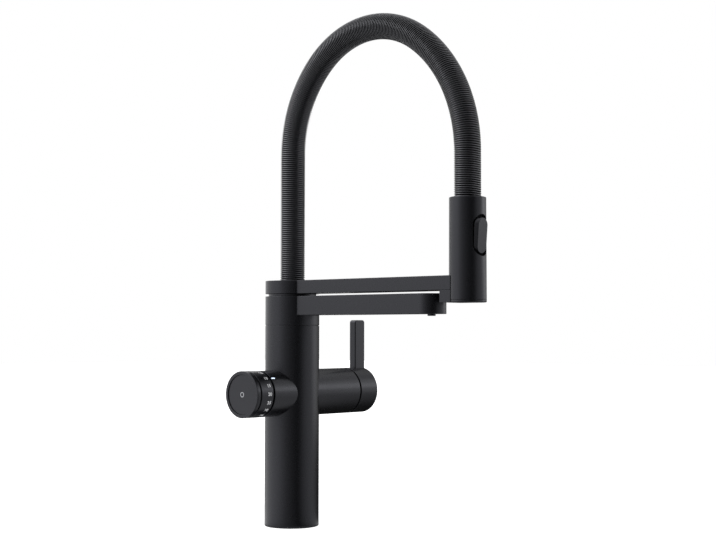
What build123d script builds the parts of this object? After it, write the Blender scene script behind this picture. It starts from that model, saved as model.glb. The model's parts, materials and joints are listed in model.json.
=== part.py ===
from build123d import *
import math
import os

# A water filter kitchen tap. +Z is up, the spouts point along +X, the dial is on the -Y side and
# the lever on the +Y side. The origin is the centre of the foot, on the worktop. Millimetres.

# Column
COLUMN_RADIUS = 27.0
COLUMN_BORE = 23.0
COLUMN_TOP = 198.3
FOOT_CHAMFER = 0.6

# Fits and clearances
PRESS_GAP = 0.03
RUNNING_GAP = 0.06
SEAT_GAP = 0.05
FACE_GAP = 0.1
SLIDE_GAP = 0.2

# Foot of the column, seen from below
BASE_PLATE_HEIGHT = 12.0
INLET_RADIUS = 4.5
INLET_DEPTH = 10.0
INLET_CIRCLE = 12.0
INLET_COUNT = 3
INLET_START_ANGLE = 90.0
STUD_RADIUS = 2.5
STUD_DEPTH = 9.0
STUD_SPACING = 36.0
SEAL_OUTER = 26.0
SEAL_INNER = 24.2
SEAL_HEIGHT = 1.6

# Water block inside the column
BLOCK_CHANNEL = 4.0
BLOCK_RISER = 7.0
RISER_RADIUS = 5.5
RISER_SEAT = 12.0
RISER_FOOT = 158.0
VALVE_SEAT = 2.0

# Swivel post, which carries the spout and the docking arm
POST_RADIUS = 17.0
POST_BORE = 8.0
POST_FLANGE_THICKNESS = 8.0
SEAL_RING_WIDTH = 2.4
SEAL_RING_DEPTH = 1.8
BUSH_WALL = 2.0
WASHER_THICKNESS = 0.5
WASHER_INSET = 0.6
NECK_RADIUS = 23.8

# Lower spout for filtered water
SPOUT_RING_BOTTOM = 198.8
SPOUT_BOTTOM = 208.8
SPOUT_TOP = 227.5
BAR_HALF_WIDTH = 15.5
SPOUT_HEAD_GAP = 11.7
WATERWAY_RADIUS = 5.0
WATERWAY_FLOOR = 3.2
TUBE_WALL = 1.0
JET_OFFSET = 2.4
JET_RADIUS = 3.8
JET_DROP = 1.8
JET_BORE = 2.6
AERATOR_LENGTH = 6.0
AERATOR_SCREEN = 1.2
AERATOR_WALL = 0.5

# Docking arm
ARM_BOTTOM = 230.0
ARM_TOP = 243.0
ARM_PLATE = 3.0
REACH = 222.0
DOCK_LENGTH = 20.2
DOCK_BOTTOM = 218.8
DOCK_CLEARANCE = 0.3
MAGNET_RADIUS = 6.0
MAGNET_THICKNESS = 2.5
MAGNET_HEIGHT = 231.8

# Arched hose: a coiled sleeve over an inner hose
SLEEVE_RADIUS = 12.3
SLEEVE_ROOT = 11.4
SLEEVE_BORE = 9.0
SLEEVE_RIBS = 200
SLEEVE_LAND = 2.0
RIB_CREST_SHARE = 0.62
RIB_FLANK_SHARE = 0.12
HOSE_RADIUS = 7.2
HOSE_BORE = 4.5
RISER_TOP = 369.0
REAR_ARC_RADIUS = 121.0
REAR_ARC_ANGLE = 46.8
CROWN_RADIUS = 100.0
FRONT_ARC_ANGLE = 55.7
FERRULE_RADIUS = 8.6
FERRULE_LENGTH = 14.0
NIPPLE_SPIGOT = 14.0
NIPPLE_BARB = 13.0
NIPPLE_FLANGE = 1.5

# Pull-out spray head
HEAD_BOTTOM = 218.8
HEAD_LENGTH = 94.4
HEAD_RADIUS = 17.0
HEAD_TOP_RADIUS = 16.7
HEAD_WALL = 1.8
HEAD_ROUND = 0.8
COLLAR_THICKNESS = 3.5
SLEEVE_SEAT = 3.0
SWIVEL_NUT_LENGTH = 9.0
SWIVEL_NUT_RADIUS = 12.6
DIVERTER_RADIUS = 14.4
DIVERTER_LENGTH = 46.0
VALVE_RADIUS = 3.0
FACE_THICKNESS = 4.0
FACE_RECESS = 0.8
JET_RING_RADIUS = 10.5
JET_RING_COUNT = 12
NOZZLE_RADIUS = 0.9
NOZZLE_DROP = 0.6
SPRAY_AERATOR_RADIUS = 6.5
KEEPER_WIDTH = 14.0
KEEPER_HEIGHT = 12.0
KEEPER_THICKNESS = 1.0

# Rocker button on the spray head
ROCKER_CENTRE_Z = 278.5
ROCKER_LENGTH = 35.5
ROCKER_WIDTH = 18.0
ROCKER_FACE = 16.9
ROCKER_BACK = 12.6
ROCKER_BEVEL_WIDTH = 3.6
ROCKER_BEVEL_DEPTH = 1.4
ROCKER_TILT = 4.2
ROCKER_SIDE_GAP = 0.4
ROCKER_END_GAP = 0.9
ROCKER_FLOOR = 11.0
ROCKER_PIN_X = 9.2
ROCKER_PIN_RADIUS = 1.0
ROCKER_PIN_LENGTH = 17.0
TONGUE_WIDTH = 8.0
TONGUE_RADIUS = 2.2
TONGUE_GAP = 0.5
PLUNGER_OFFSET = 9.0
PLUNGER_END = 11.7

# Side axis, shared by the dial and the mixer
AXIS_HEIGHT = 131.6

# Mixer side
HOUSING_RADIUS = 23.35
HOUSING_END = 76.1
HOUSING_BORE = 18.6
CARTRIDGE_RADIUS = 17.5
CARTRIDGE_BASE = 20.0
CARTRIDGE_END = 62.0
MIXER_PIVOT = 46.0
DRIVER_RADIUS = 9.4
DRIVER_BASE = 38.0
DRIVER_END = 52.0
DRIVER_FLOOR = 3.0
MOUTH_RADIUS = 12.4
NUT_LENGTH = 8.0
NUT_BORE = 13.6
NUT_SLOT_WIDTH = 4.0
NUT_SLOT_DEPTH = 2.0
STEM_WIDTH = 7.8
STEM_HEIGHT = 7.0
STEM_EYE_RADIUS = 4.5
STEM_END = 96.0
PIN_RADIUS = 1.5
LEVER_GAP = 2.0
CAP_END = 103.6
CAP_SKIRT_WALL = 1.75
CAP_SKIRT_DEPTH = 9.8
CAP_ROUND = 2.0
BLADE_WIDTH = 8.3
BLADE_DEPTH = 14.6
BLADE_TOP = 204.7
BLADE_FOOT = 17.0
BLADE_ROUND = 2.8
BLADE_EDGE = 1.0
GRUB_RADIUS = 2.5
GRUB_LENGTH = 8.0
GRUB_POSITION = 91.5

# Dial side, measured outwards from the column's axis
DIAL_RADIUS = 22.7
STUB_END = 45.2
STUB_BORE = 18.0
BEARING_START = 33.0
BEARING_FLANGE_RADIUS = 20.0
BAND_START = 47.6
BAND_END = 62.8
BAND_WALL = 3.0
BAND_WEB = 3.0
GROOVE_WIDTH = 1.8
GROOVE_DEPTH = 1.0
DIAL_FACE = 68.7
RIM_WIDTH = 2.8
RIM_ROUND = 0.9
SHAFT_RADIUS = 9.0
SHAFT_BORE = 5.0
SHAFT_START = 27.0
CLIP_RADIUS = 11.0
CLIP_THICKNESS = 1.0
BUTTON_RECESS = 1.3
BUTTON_THICKNESS = 1.6
BUTTON_GUIDE_RADIUS = 4.0
DOME_RADIUS = 7.0
DOME_WALL = 0.8
SENSOR_THICKNESS = 1.2
SENSOR_RADIUS = 13.0
VALVE_BODY_RADIUS = 14.0
VALVE_BODY_END = 24.0
LIGHT_ANGLE = 43.7
LIGHT_LENGTH = 5.0
LIGHT_WIDTH = 2.4
LIGHT_DEPTH = 2.4
LIGHT_INSET = 0.4

# Places that follow from the sizes above
CAP_START = HOUSING_END + LEVER_GAP
POST_FLANGE_TOP = COLUMN_TOP - SEAT_GAP
POST_TOP = ARM_TOP - ARM_PLATE - FACE_GAP
BLOCK_TOP = POST_FLANGE_TOP - POST_FLANGE_THICKNESS - SEAT_GAP
SPIGOT_END = POST_TOP - NIPPLE_SPIGOT
RING_BORE = POST_RADIUS + RUNNING_GAP + BUSH_WALL + PRESS_GAP
HEAD_TOP = HEAD_BOTTOM + HEAD_LENGTH
SPOUT_END_X = REACH - HEAD_RADIUS - SPOUT_HEAD_GAP - BAR_HALF_WIDTH
JET_X = SPOUT_END_X + JET_OFFSET
WATERWAY_HEIGHT = SPOUT_BOTTOM + WATERWAY_FLOOR + WATERWAY_RADIUS
SPAN_LEFT = REACH - REAR_ARC_RADIUS * (1 - math.cos(math.radians(REAR_ARC_ANGLE)))
SPAN_LEFT -= CROWN_RADIUS * math.cos(math.radians(REAR_ARC_ANGLE))
SPAN_LEFT -= CROWN_RADIUS * math.cos(math.radians(FRONT_ARC_ANGLE))
FRONT_ARC_RADIUS = SPAN_LEFT / (1 - math.cos(math.radians(FRONT_ARC_ANGLE)))

# Local +Z points out along +Y on the mixer side and along -Y on the dial side
MIXER_SIDE = Pos(0, 0, AXIS_HEIGHT) * Rot(-90, 0, 0)
DIAL_SIDE = Pos(0, 0, AXIS_HEIGHT) * Rot(90, 0, 0)


def rod(radius, bottom, top):
    """A solid round bar along Z."""
    return Pos(0, 0, bottom) * extrude(Circle(radius), top - bottom)


def ring(outer, inner, bottom, top):
    """A round tube along Z."""
    return Pos(0, 0, bottom) * extrude(Circle(outer) - Circle(inner), top - bottom)


def block(x, y, bottom, top):
    """A square bar along Z, centred on it."""
    return Pos(0, 0, bottom) * extrude(Rectangle(x, y), top - bottom)


def save(node, shape):
    """Writes one piece, or one group of like pieces, under its name."""
    shape.label = node
    export_step(shape, os.path.join("parts", node + ".step"))


def inlet_places():
    """Centres of the hose inlets in the foot."""
    return PolarLocations(INLET_CIRCLE, INLET_COUNT, INLET_START_ANGLE)


# Column and foot
def column_body():
    """The upright brass tube, with a hole for the dial's stub and one for the mixer housing."""
    tube = rod(COLUMN_RADIUS, 0, COLUMN_TOP)
    foot = tube.edges().filter_by(GeomType.CIRCLE).group_by(Axis.Z)[0]
    tube = chamfer(foot, FOOT_CHAMFER)
    tube -= rod(COLUMN_BORE, 0, COLUMN_TOP)
    tube -= MIXER_SIDE * rod(HOUSING_BORE, 0, COLUMN_RADIUS)
    tube -= DIAL_SIDE * rod(STUB_BORE, 0, COLUMN_RADIUS)
    return tube - ring(SEAL_OUTER, SEAL_INNER, 0, SEAL_HEIGHT)


def column_space():
    """The space that a side tube leaves for the column it is brazed to."""
    return rod(COLUMN_RADIUS + PRESS_GAP, 0, COLUMN_TOP)


def mixer_housing():
    """Side tube for the mixer cartridge, its inner end cut to the column's round."""
    return MIXER_SIDE * ring(HOUSING_RADIUS, HOUSING_BORE, 0, HOUSING_END) - column_space()


def dial_stub():
    """Side tube for the dial, its inner end cut to the column's round, with the light's slot."""
    return DIAL_SIDE * ring(DIAL_RADIUS, STUB_BORE, 0, STUB_END) - column_space() - light_slot(0)


def base_plate():
    """Closes the foot, with threaded inlets for three hoses and holes for two fixing studs."""
    plate = rod(COLUMN_BORE - PRESS_GAP, 0, BASE_PLATE_HEIGHT)
    for place in inlet_places():
        plate -= place * rod(INLET_RADIUS, 0, INLET_DEPTH)
        plate -= place * rod(BLOCK_CHANNEL, INLET_DEPTH, BASE_PLATE_HEIGHT)
    for place in GridLocations(STUD_SPACING, 0, 2, 1):
        plate -= place * rod(STUD_RADIUS, 0, STUD_DEPTH)
    return plate


def base_seal():
    """Flat sealing ring let into the foot."""
    return ring(SEAL_OUTER - SEAT_GAP, SEAL_INNER + SEAT_GAP, 0, SEAL_HEIGHT - SEAT_GAP)


def water_block():
    """The inner block that leads water from the inlets to the cartridge, the valve and the post."""
    start = BASE_PLATE_HEIGHT + SEAT_GAP
    core = rod(COLUMN_BORE - PRESS_GAP, start, BLOCK_TOP)
    core -= MIXER_SIDE * rod(HOUSING_BORE, CARTRIDGE_BASE, COLUMN_RADIUS)
    core -= DIAL_SIDE * rod(VALVE_BODY_RADIUS + FACE_GAP, VALVE_SEAT, COLUMN_RADIUS)
    for place in inlet_places():
        core -= place * rod(BLOCK_CHANNEL, start, AXIS_HEIGHT - HOUSING_BORE - BLOCK_CHANNEL)
    core -= rod(RISER_RADIUS + PRESS_GAP, RISER_FOOT, RISER_FOOT + RISER_SEAT)
    core -= rod(BLOCK_RISER, RISER_FOOT + RISER_SEAT, BLOCK_TOP)
    return core


def riser_tube():
    """Inner tube that leads mixed water up to the hose, apart from the filtered water round it."""
    return ring(RISER_RADIUS, RISER_RADIUS - TUBE_WALL, RISER_FOOT, SPIGOT_END - SEAT_GAP)


def swivel_post():
    """The hollow post on the column, with grooves for its sealing rings and a retaining head."""
    bottom = POST_FLANGE_TOP - POST_FLANGE_THICKNESS
    post = rod(COLUMN_BORE - PRESS_GAP, bottom, POST_FLANGE_TOP)
    post += rod(POST_RADIUS, bottom, POST_TOP)
    for low in seal_ring_places():
        post -= ring(POST_RADIUS, POST_RADIUS - SEAL_RING_DEPTH, low, low + SEAL_RING_WIDTH)
    post -= rod(POST_BORE, bottom, POST_TOP)
    outlet = Pos(0, 0, WATERWAY_HEIGHT) * Rot(0, 90, 0) * rod(WATERWAY_RADIUS, 0, POST_RADIUS)
    return post - outlet


def seal_ring_places():
    """Heights of the grooves above and below the spout's water inlet."""
    reach = WATERWAY_RADIUS + SEAL_RING_WIDTH
    return (WATERWAY_HEIGHT - reach - SEAL_RING_WIDTH, WATERWAY_HEIGHT + reach)


def post_seals():
    """The two rubber rings in the post's grooves."""
    rings = []
    for low in seal_ring_places():
        inner = POST_RADIUS - SEAL_RING_DEPTH + SEAT_GAP
        outer = POST_RADIUS - SEAT_GAP
        rings.append(ring(outer, inner, low + SEAT_GAP, low + SEAL_RING_WIDTH - SEAT_GAP))
    return Compound(children=rings)


def swivel_washer():
    """Slip washer between the column and the spout's ring."""
    bottom = COLUMN_TOP
    top = bottom + WASHER_THICKNESS - SEAT_GAP
    return ring(COLUMN_RADIUS - WASHER_INSET, RING_BORE, bottom, top)


def neck_ring():
    """The narrower ring that shows between the spout and the docking arm."""
    return ring(NECK_RADIUS, POST_RADIUS + SEAT_GAP, SPOUT_TOP + FACE_GAP, ARM_BOTTOM - FACE_GAP)


# Lower spout
def bar_outline(end_x, half_width):
    """Plan outline of a straight bar with a half-round end."""
    return Pos(end_x / 2, 0) * Rectangle(end_x, 2 * half_width) + Pos(end_x, 0) * Circle(half_width)


def spout_body():
    """The filtered-water spout: a ring round the post and a flat bar with a half-round end."""
    body = Pos(0, 0, SPOUT_BOTTOM) * extrude(
        bar_outline(SPOUT_END_X, BAR_HALF_WIDTH), SPOUT_TOP - SPOUT_BOTTOM
    )
    body += rod(COLUMN_RADIUS, SPOUT_RING_BOTTOM, SPOUT_TOP)
    body -= rod(RING_BORE, SPOUT_RING_BOTTOM, SPOUT_TOP)
    body -= Pos(0, 0, WATERWAY_HEIGHT) * Rot(0, 90, 0) * rod(WATERWAY_RADIUS, 0, JET_X)
    body -= Pos(JET_X, 0) * rod(JET_RADIUS + FACE_GAP, SPOUT_BOTTOM, WATERWAY_HEIGHT)
    return body


def spout_bush():
    """Plastic bearing bush between the spout's ring and the post."""
    inner = POST_RADIUS + RUNNING_GAP
    bush = ring(inner + BUSH_WALL, inner, SPOUT_RING_BOTTOM, SPOUT_TOP)
    port = Pos(0, 0, WATERWAY_HEIGHT) * Rot(0, 90, 0) * rod(WATERWAY_RADIUS, 0, COLUMN_RADIUS)
    return bush - port


def spout_tube():
    """Plastic tube that keeps the filtered water off the metal."""
    outer = WATERWAY_RADIUS - PRESS_GAP
    start = RING_BORE + TUBE_WALL
    end = JET_X - JET_RADIUS - TUBE_WALL
    return Pos(0, 0, WATERWAY_HEIGHT) * Rot(0, 90, 0) * ring(outer, outer - TUBE_WALL, start, end)


def spout_jet():
    """The slim outlet under the spout's end."""
    jet = ring(JET_RADIUS, JET_BORE, SPOUT_BOTTOM - JET_DROP, SPOUT_BOTTOM + AERATOR_LENGTH)
    return Pos(JET_X, 0) * jet


def spout_aerator():
    """Flow straightener inside the outlet, open in the middle."""
    bottom = SPOUT_BOTTOM - JET_DROP + AERATOR_WALL
    insert = rod(JET_BORE - PRESS_GAP, bottom, bottom + AERATOR_LENGTH)
    insert -= rod(JET_BORE - AERATOR_WALL, bottom + AERATOR_SCREEN, bottom + AERATOR_LENGTH)
    return Pos(JET_X, 0) * insert


# Docking arm
def docking_arm():
    """The arm that carries the hose and holds the spray head in a cradle at its end."""
    arm = rod(COLUMN_RADIUS, ARM_BOTTOM, ARM_TOP)
    bar = Pos(REACH / 2, 0) * Rectangle(REACH, 2 * BAR_HALF_WIDTH)
    arm += Pos(0, 0, ARM_BOTTOM) * extrude(bar, ARM_TOP - ARM_BOTTOM)
    dock = Pos(REACH - DOCK_LENGTH / 2, 0, DOCK_BOTTOM) * extrude(
        Rectangle(DOCK_LENGTH, 2 * BAR_HALF_WIDTH), ARM_TOP - DOCK_BOTTOM
    )
    arm += dock
    arm -= Pos(REACH, 0) * rod(HEAD_RADIUS + DOCK_CLEARANCE, DOCK_BOTTOM, ARM_TOP)
    arm -= rod(RING_BORE, ARM_BOTTOM, ARM_TOP - ARM_PLATE)
    arm -= rod(SLEEVE_RADIUS + SEAT_GAP, ARM_BOTTOM, ARM_TOP)
    pocket = MAGNET_THICKNESS + SEAT_GAP
    arm -= magnet_place() * rod(MAGNET_RADIUS + SEAT_GAP, -pocket, pocket)
    return arm


def magnet_place():
    """Centre of the magnet's seat, in the deepest line of the cradle."""
    return Pos(REACH - HEAD_RADIUS - DOCK_CLEARANCE, 0, MAGNET_HEIGHT) * Rot(0, 90, 0)


def dock_magnet():
    """Round magnet that holds the docked head."""
    return magnet_place() * rod(MAGNET_RADIUS, -MAGNET_THICKNESS, -SEAT_GAP)


def arm_bush():
    """Plastic bearing bush between the arm and the post."""
    inner = POST_RADIUS + RUNNING_GAP
    return ring(inner + BUSH_WALL, inner, ARM_BOTTOM, POST_TOP)


def nipple_base():
    """Height of the nipple flange's lower face, in the arm's top plate."""
    return ARM_TOP - ARM_PLATE


def hose_start():
    """Height at which the sleeve and the hose stand on the nipple's flange."""
    return nipple_base() + NIPPLE_FLANGE + SEAT_GAP


def hose_nipple():
    """Joins the hose to the post: a spigot in the post, a flange and a barb in the hose."""
    nipple = rod(POST_BORE - RUNNING_GAP, SPIGOT_END, nipple_base())
    nipple += rod(SLEEVE_RADIUS, nipple_base(), nipple_base() + NIPPLE_FLANGE)
    nipple += rod(HOSE_BORE - PRESS_GAP, nipple_base(), hose_start() + NIPPLE_BARB)
    return nipple - rod(HOSE_BORE - TUBE_WALL, SPIGOT_END, hose_start() + NIPPLE_BARB)


def hose_ferrule():
    """Crimped sleeve on the hose's lower end."""
    return ring(FERRULE_RADIUS, HOSE_RADIUS + SEAT_GAP, hose_start(), hose_start() + FERRULE_LENGTH)


# Arched hose
def arch_stretches():
    """The route as lengths: riser, rear bend, crown, front bend and drop."""
    rear = math.radians(REAR_ARC_ANGLE)
    front = math.radians(FRONT_ARC_ANGLE)
    crown = math.pi - rear - front
    return (
        RISER_TOP - hose_start(),
        REAR_ARC_RADIUS * rear,
        CROWN_RADIUS * crown,
        FRONT_ARC_RADIUS * front,
        front_arc_end() - HEAD_TOP + SLEEVE_SEAT,
    )


def front_arc_end():
    """Height at which the front bend has turned straight down."""
    rear = math.radians(REAR_ARC_ANGLE)
    front = math.radians(FRONT_ARC_ANGLE)
    crown_base = RISER_TOP + (REAR_ARC_RADIUS - CROWN_RADIUS) * math.sin(rear)
    return crown_base - (FRONT_ARC_RADIUS - CROWN_RADIUS) * math.sin(front)


def arch_point(distance):
    """Point (x, z) and direction angle from straight up, at a distance along the route."""
    riser, rear, crown, front, drop = arch_stretches()
    start = math.radians(REAR_ARC_ANGLE)
    front_turn = math.radians(FRONT_ARC_ANGLE)
    if distance <= riser:
        return 0.0, hose_start() + distance, 0.0
    distance -= riser
    if distance <= rear:
        turn = distance / REAR_ARC_RADIUS
        x = REAR_ARC_RADIUS * (1 - math.cos(turn))
        return x, RISER_TOP + REAR_ARC_RADIUS * math.sin(turn), turn
    distance -= rear
    crown_x = REAR_ARC_RADIUS - (REAR_ARC_RADIUS - CROWN_RADIUS) * math.cos(start)
    crown_z = RISER_TOP + (REAR_ARC_RADIUS - CROWN_RADIUS) * math.sin(start)
    if distance <= crown:
        turn = start + distance / CROWN_RADIUS
        return crown_x - CROWN_RADIUS * math.cos(turn), crown_z + CROWN_RADIUS * math.sin(turn), turn
    distance -= crown
    if distance <= front:
        turn = math.pi - front_turn + distance / FRONT_ARC_RADIUS
        x = REACH - FRONT_ARC_RADIUS - FRONT_ARC_RADIUS * math.cos(turn)
        return x, front_arc_end() + FRONT_ARC_RADIUS * math.sin(turn), turn
    distance -= front
    return REACH, front_arc_end() - distance, math.pi


def arch_plane(distance):
    """Plane square to the route, with its X axis always along the tap's Y axis."""
    x, z, turn = arch_point(distance)
    return Plane(origin=(x, 0, z), x_dir=(0, 1, 0), z_dir=(math.sin(turn), 0, math.cos(turn)))


def arch_path(start, end):
    """The route as lines and tangent arcs between two distances along it."""
    marks = [start]
    total = 0.0
    for stretch in arch_stretches():
        total += stretch
        if start < total < end:
            marks.append(total)
    marks.append(end)
    pieces = []
    for a, b in zip(marks, marks[1:]):
        ends = [arch_plane(d).origin for d in (a, (a + b) / 2, b)]
        straight = abs(arch_point(a)[2] - arch_point(b)[2]) < 1e-9
        pieces.append(Line(ends[0], ends[2]) if straight else ThreePointArc(*ends))
    return Wire(pieces)


def arch_tube(radius, start, end):
    """A plain round bar along the route."""
    return sweep(arch_plane(start) * Circle(radius), path=arch_path(start, end))


def spring_sleeve():
    """The close-coiled sleeve, as ribs along the arch, with a plain land at each end."""
    total = sum(arch_stretches())
    pitch = (total - 2 * SLEEVE_LAND) / SLEEVE_RIBS
    crest = pitch * RIB_CREST_SHARE
    flank = pitch * RIB_FLANK_SHARE
    places = [(0, SLEEVE_RADIUS)]
    for rib in range(SLEEVE_RIBS):
        start = SLEEVE_LAND + rib * pitch
        places.append((start, SLEEVE_RADIUS))
        places.append((start + flank, SLEEVE_ROOT))
        places.append((start + pitch - crest - flank, SLEEVE_ROOT))
        places.append((start + pitch - crest, SLEEVE_RADIUS))
    places.append((total, SLEEVE_RADIUS))
    sections = [arch_plane(distance) * Circle(radius) for distance, radius in places]
    tube = loft(sections, ruled=True)
    return tube - arch_tube(SLEEVE_BORE, 0, total)


def inner_hose():
    """The water hose inside the sleeve, from the nipple to the head's swivel nut."""
    end = sum(arch_stretches())
    return arch_tube(HOSE_RADIUS, 0, end) - arch_tube(HOSE_BORE, 0, end)


# Spray head
def head_outline(wall, bottom, top):
    """A tapered round bar with the head's own taper, a wall's thickness in from its surface."""
    def radius(height):
        share = (height - HEAD_BOTTOM) / HEAD_LENGTH
        return HEAD_RADIUS + (HEAD_TOP_RADIUS - HEAD_RADIUS) * share - wall

    low = Pos(0, 0, bottom) * Circle(radius(bottom))
    high = Pos(0, 0, top) * Circle(radius(top))
    return loft([low, high], ruled=True)


def head_shell():
    """The tapered casing of the spray head, with the rocker's opening and lugs for its pin."""
    shell = head_outline(0, HEAD_BOTTOM, HEAD_TOP)
    rims = shell.edges().filter_by(GeomType.CIRCLE)
    shell = fillet(rims.group_by(Axis.Z)[-1], HEAD_ROUND)
    shell -= head_outline(HEAD_WALL, HEAD_BOTTOM, HEAD_TOP - COLLAR_THICKNESS)
    shell -= rod(SLEEVE_RADIUS + SLIDE_GAP, HEAD_TOP - COLLAR_THICKNESS, HEAD_TOP)
    return Pos(REACH, 0) * (shell - rocker_space())


def head_collar():
    """Clamp ring under the top of the head, round the hose's swivel nut."""
    top = HEAD_TOP - COLLAR_THICKNESS - SEAT_GAP
    outer = HEAD_TOP_RADIUS - HEAD_WALL - PRESS_GAP
    return Pos(REACH, 0) * ring(outer, SWIVEL_NUT_RADIUS + SEAT_GAP, top - COLLAR_THICKNESS, top)


def swivel_nut():
    """The nut on the hose's end, which lets the head turn on the hose."""
    top = HEAD_TOP - COLLAR_THICKNESS - SEAT_GAP
    return Pos(REACH, 0) * ring(SWIVEL_NUT_RADIUS, HOSE_BORE, top - SWIVEL_NUT_LENGTH, top)


def diverter_top():
    """Height of the diverter's upper end, just under the swivel nut."""
    return HEAD_TOP - COLLAR_THICKNESS - SWIVEL_NUT_LENGTH - 2 * SEAT_GAP


def diverter_body():
    """The valve body inside the head, with a pocket for the rocker and its tongue."""
    top = diverter_top()
    body = rod(DIVERTER_RADIUS, top - DIVERTER_LENGTH, top)
    body -= rod(HOSE_BORE, top - SWIVEL_NUT_LENGTH, top)
    body -= rocker_space()
    body -= rocker_tongue(TONGUE_GAP)
    body -= rocker_pin_axis() * rod(ROCKER_PIN_RADIUS, -DIVERTER_RADIUS, DIVERTER_RADIUS)
    body -= plunger_axis() * rod(VALVE_RADIUS + RUNNING_GAP, 0, DIVERTER_RADIUS)
    return Pos(REACH, 0) * body


def plunger_axis():
    """Axis of the valve's plunger, which points at the rocker's lower half."""
    return Pos(0, 0, ROCKER_CENTRE_Z - PLUNGER_OFFSET) * Rot(0, 90, 0)


def diverter_valve():
    """The plunger that the rocker pushes."""
    return Pos(REACH, 0) * plunger_axis() * rod(VALVE_RADIUS, SEAT_GAP, PLUNGER_END)


def water_core():
    """Tube from the diverter down to the spray face."""
    top = diverter_top() - DIVERTER_LENGTH - SEAT_GAP
    bottom = HEAD_BOTTOM + FACE_RECESS + FACE_THICKNESS + SEAT_GAP
    return Pos(REACH, 0) * ring(SPRAY_AERATOR_RADIUS + TUBE_WALL, SPRAY_AERATOR_RADIUS, bottom, top)


def spray_face():
    """The round face under the head, with a ring of jets and a hole for the aerator."""
    bottom = HEAD_BOTTOM + FACE_RECESS
    face = rod(HEAD_RADIUS - HEAD_WALL - SLIDE_GAP, bottom, bottom + FACE_THICKNESS)
    face -= rod(SPRAY_AERATOR_RADIUS, bottom, bottom + FACE_THICKNESS)
    for place in PolarLocations(JET_RING_RADIUS, JET_RING_COUNT):
        face -= place * rod(NOZZLE_RADIUS + FACE_GAP, bottom, bottom + FACE_THICKNESS)
    return Pos(REACH, 0) * face


def spray_nozzles():
    """Soft nozzle tips, moulded on one ring behind the face."""
    bottom = HEAD_BOTTOM + FACE_RECESS
    top = bottom + FACE_THICKNESS
    mat = ring(HEAD_RADIUS - HEAD_WALL - SLIDE_GAP, SPRAY_AERATOR_RADIUS + TUBE_WALL + SLIDE_GAP,
               top + SEAT_GAP, top + SEAT_GAP + TUBE_WALL)
    for place in PolarLocations(JET_RING_RADIUS, JET_RING_COUNT):
        mat += place * rod(NOZZLE_RADIUS, bottom - NOZZLE_DROP, top + TUBE_WALL)
    return Pos(REACH, 0) * mat


def spray_aerator():
    """Aerator cartridge in the middle of the spray face."""
    bottom = HEAD_BOTTOM + FACE_RECESS
    insert = rod(SPRAY_AERATOR_RADIUS - PRESS_GAP, bottom, bottom + FACE_THICKNESS)
    insert -= rod(SPRAY_AERATOR_RADIUS - TUBE_WALL, bottom + AERATOR_SCREEN, bottom + FACE_THICKNESS)
    return Pos(REACH, 0) * insert


def head_keeper():
    """Curved steel plate inside the casing, which the dock's magnet pulls."""
    outer = HEAD_TOP_RADIUS - HEAD_WALL - SLIDE_GAP
    low = MAGNET_HEIGHT - KEEPER_HEIGHT / 2
    plate = ring(outer, outer - KEEPER_THICKNESS, low, low + KEEPER_HEIGHT)
    window = Pos(-outer, 0, low) * extrude(Rectangle(outer, KEEPER_WIDTH), KEEPER_HEIGHT)
    return Pos(REACH, 0) * (plate & window)


# Rocker button
def rocker_slot(length, width, depth):
    """Long round-ended outline, upright on the front of the head at a distance from its axis."""
    return Pos(depth, 0, ROCKER_CENTRE_Z) * Rot(0, 90, 0) * SlotOverall(length, width)


def rocker_space():
    """The long round-ended space that the rocker sits in."""
    outline = rocker_slot(
        ROCKER_LENGTH + 2 * ROCKER_END_GAP, ROCKER_WIDTH + 2 * ROCKER_SIDE_GAP, ROCKER_FLOOR
    )
    return extrude(outline, HEAD_RADIUS, dir=(1, 0, 0))


def rocker_pin_axis():
    """Axis of the rocker's pin, across the head."""
    return Pos(ROCKER_PIN_X, 0, ROCKER_CENTRE_Z) * Rot(90, 0, 0)


def rocker_tongue(gap):
    """The tongue behind the rocker, with its rounded eye, grown by a gap."""
    half = TONGUE_WIDTH / 2 + gap
    eye = rocker_pin_axis() * rod(TONGUE_RADIUS + gap, -half, half)
    length = ROCKER_BACK - ROCKER_PIN_X + gap
    neck = Pos(ROCKER_PIN_X + length / 2, 0, ROCKER_CENTRE_Z) * Box(
        length, 2 * half, 2 * (TONGUE_RADIUS + gap)
    )
    return eye + neck


def rocker_button():
    """The rocker: a bevelled long button that rests with its upper end out of the head."""
    rim = rocker_slot(ROCKER_LENGTH, ROCKER_WIDTH, ROCKER_BACK)
    edge = ROCKER_FACE - ROCKER_BEVEL_DEPTH
    button = extrude(rim, edge - ROCKER_BACK, dir=(1, 0, 0))
    low = rocker_slot(ROCKER_LENGTH, ROCKER_WIDTH, edge)
    inset = 2 * ROCKER_BEVEL_WIDTH
    high = rocker_slot(ROCKER_LENGTH - inset, ROCKER_WIDTH - inset, ROCKER_FACE)
    button += loft([low, high], ruled=True)
    button += rocker_tongue(0)
    button -= rocker_pin_axis() * rod(ROCKER_PIN_RADIUS + RUNNING_GAP, -ROCKER_WIDTH, ROCKER_WIDTH)
    hinge = Axis((ROCKER_PIN_X, 0, ROCKER_CENTRE_Z), (0, 1, 0))
    return Pos(REACH, 0) * button.rotate(hinge, ROCKER_TILT)


def rocker_pin():
    """Steel pin that the rocker tilts on, held in the diverter body."""
    half = ROCKER_PIN_LENGTH / 2
    return Pos(REACH, 0) * rocker_pin_axis() * rod(ROCKER_PIN_RADIUS - PRESS_GAP, -half, half)


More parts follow.
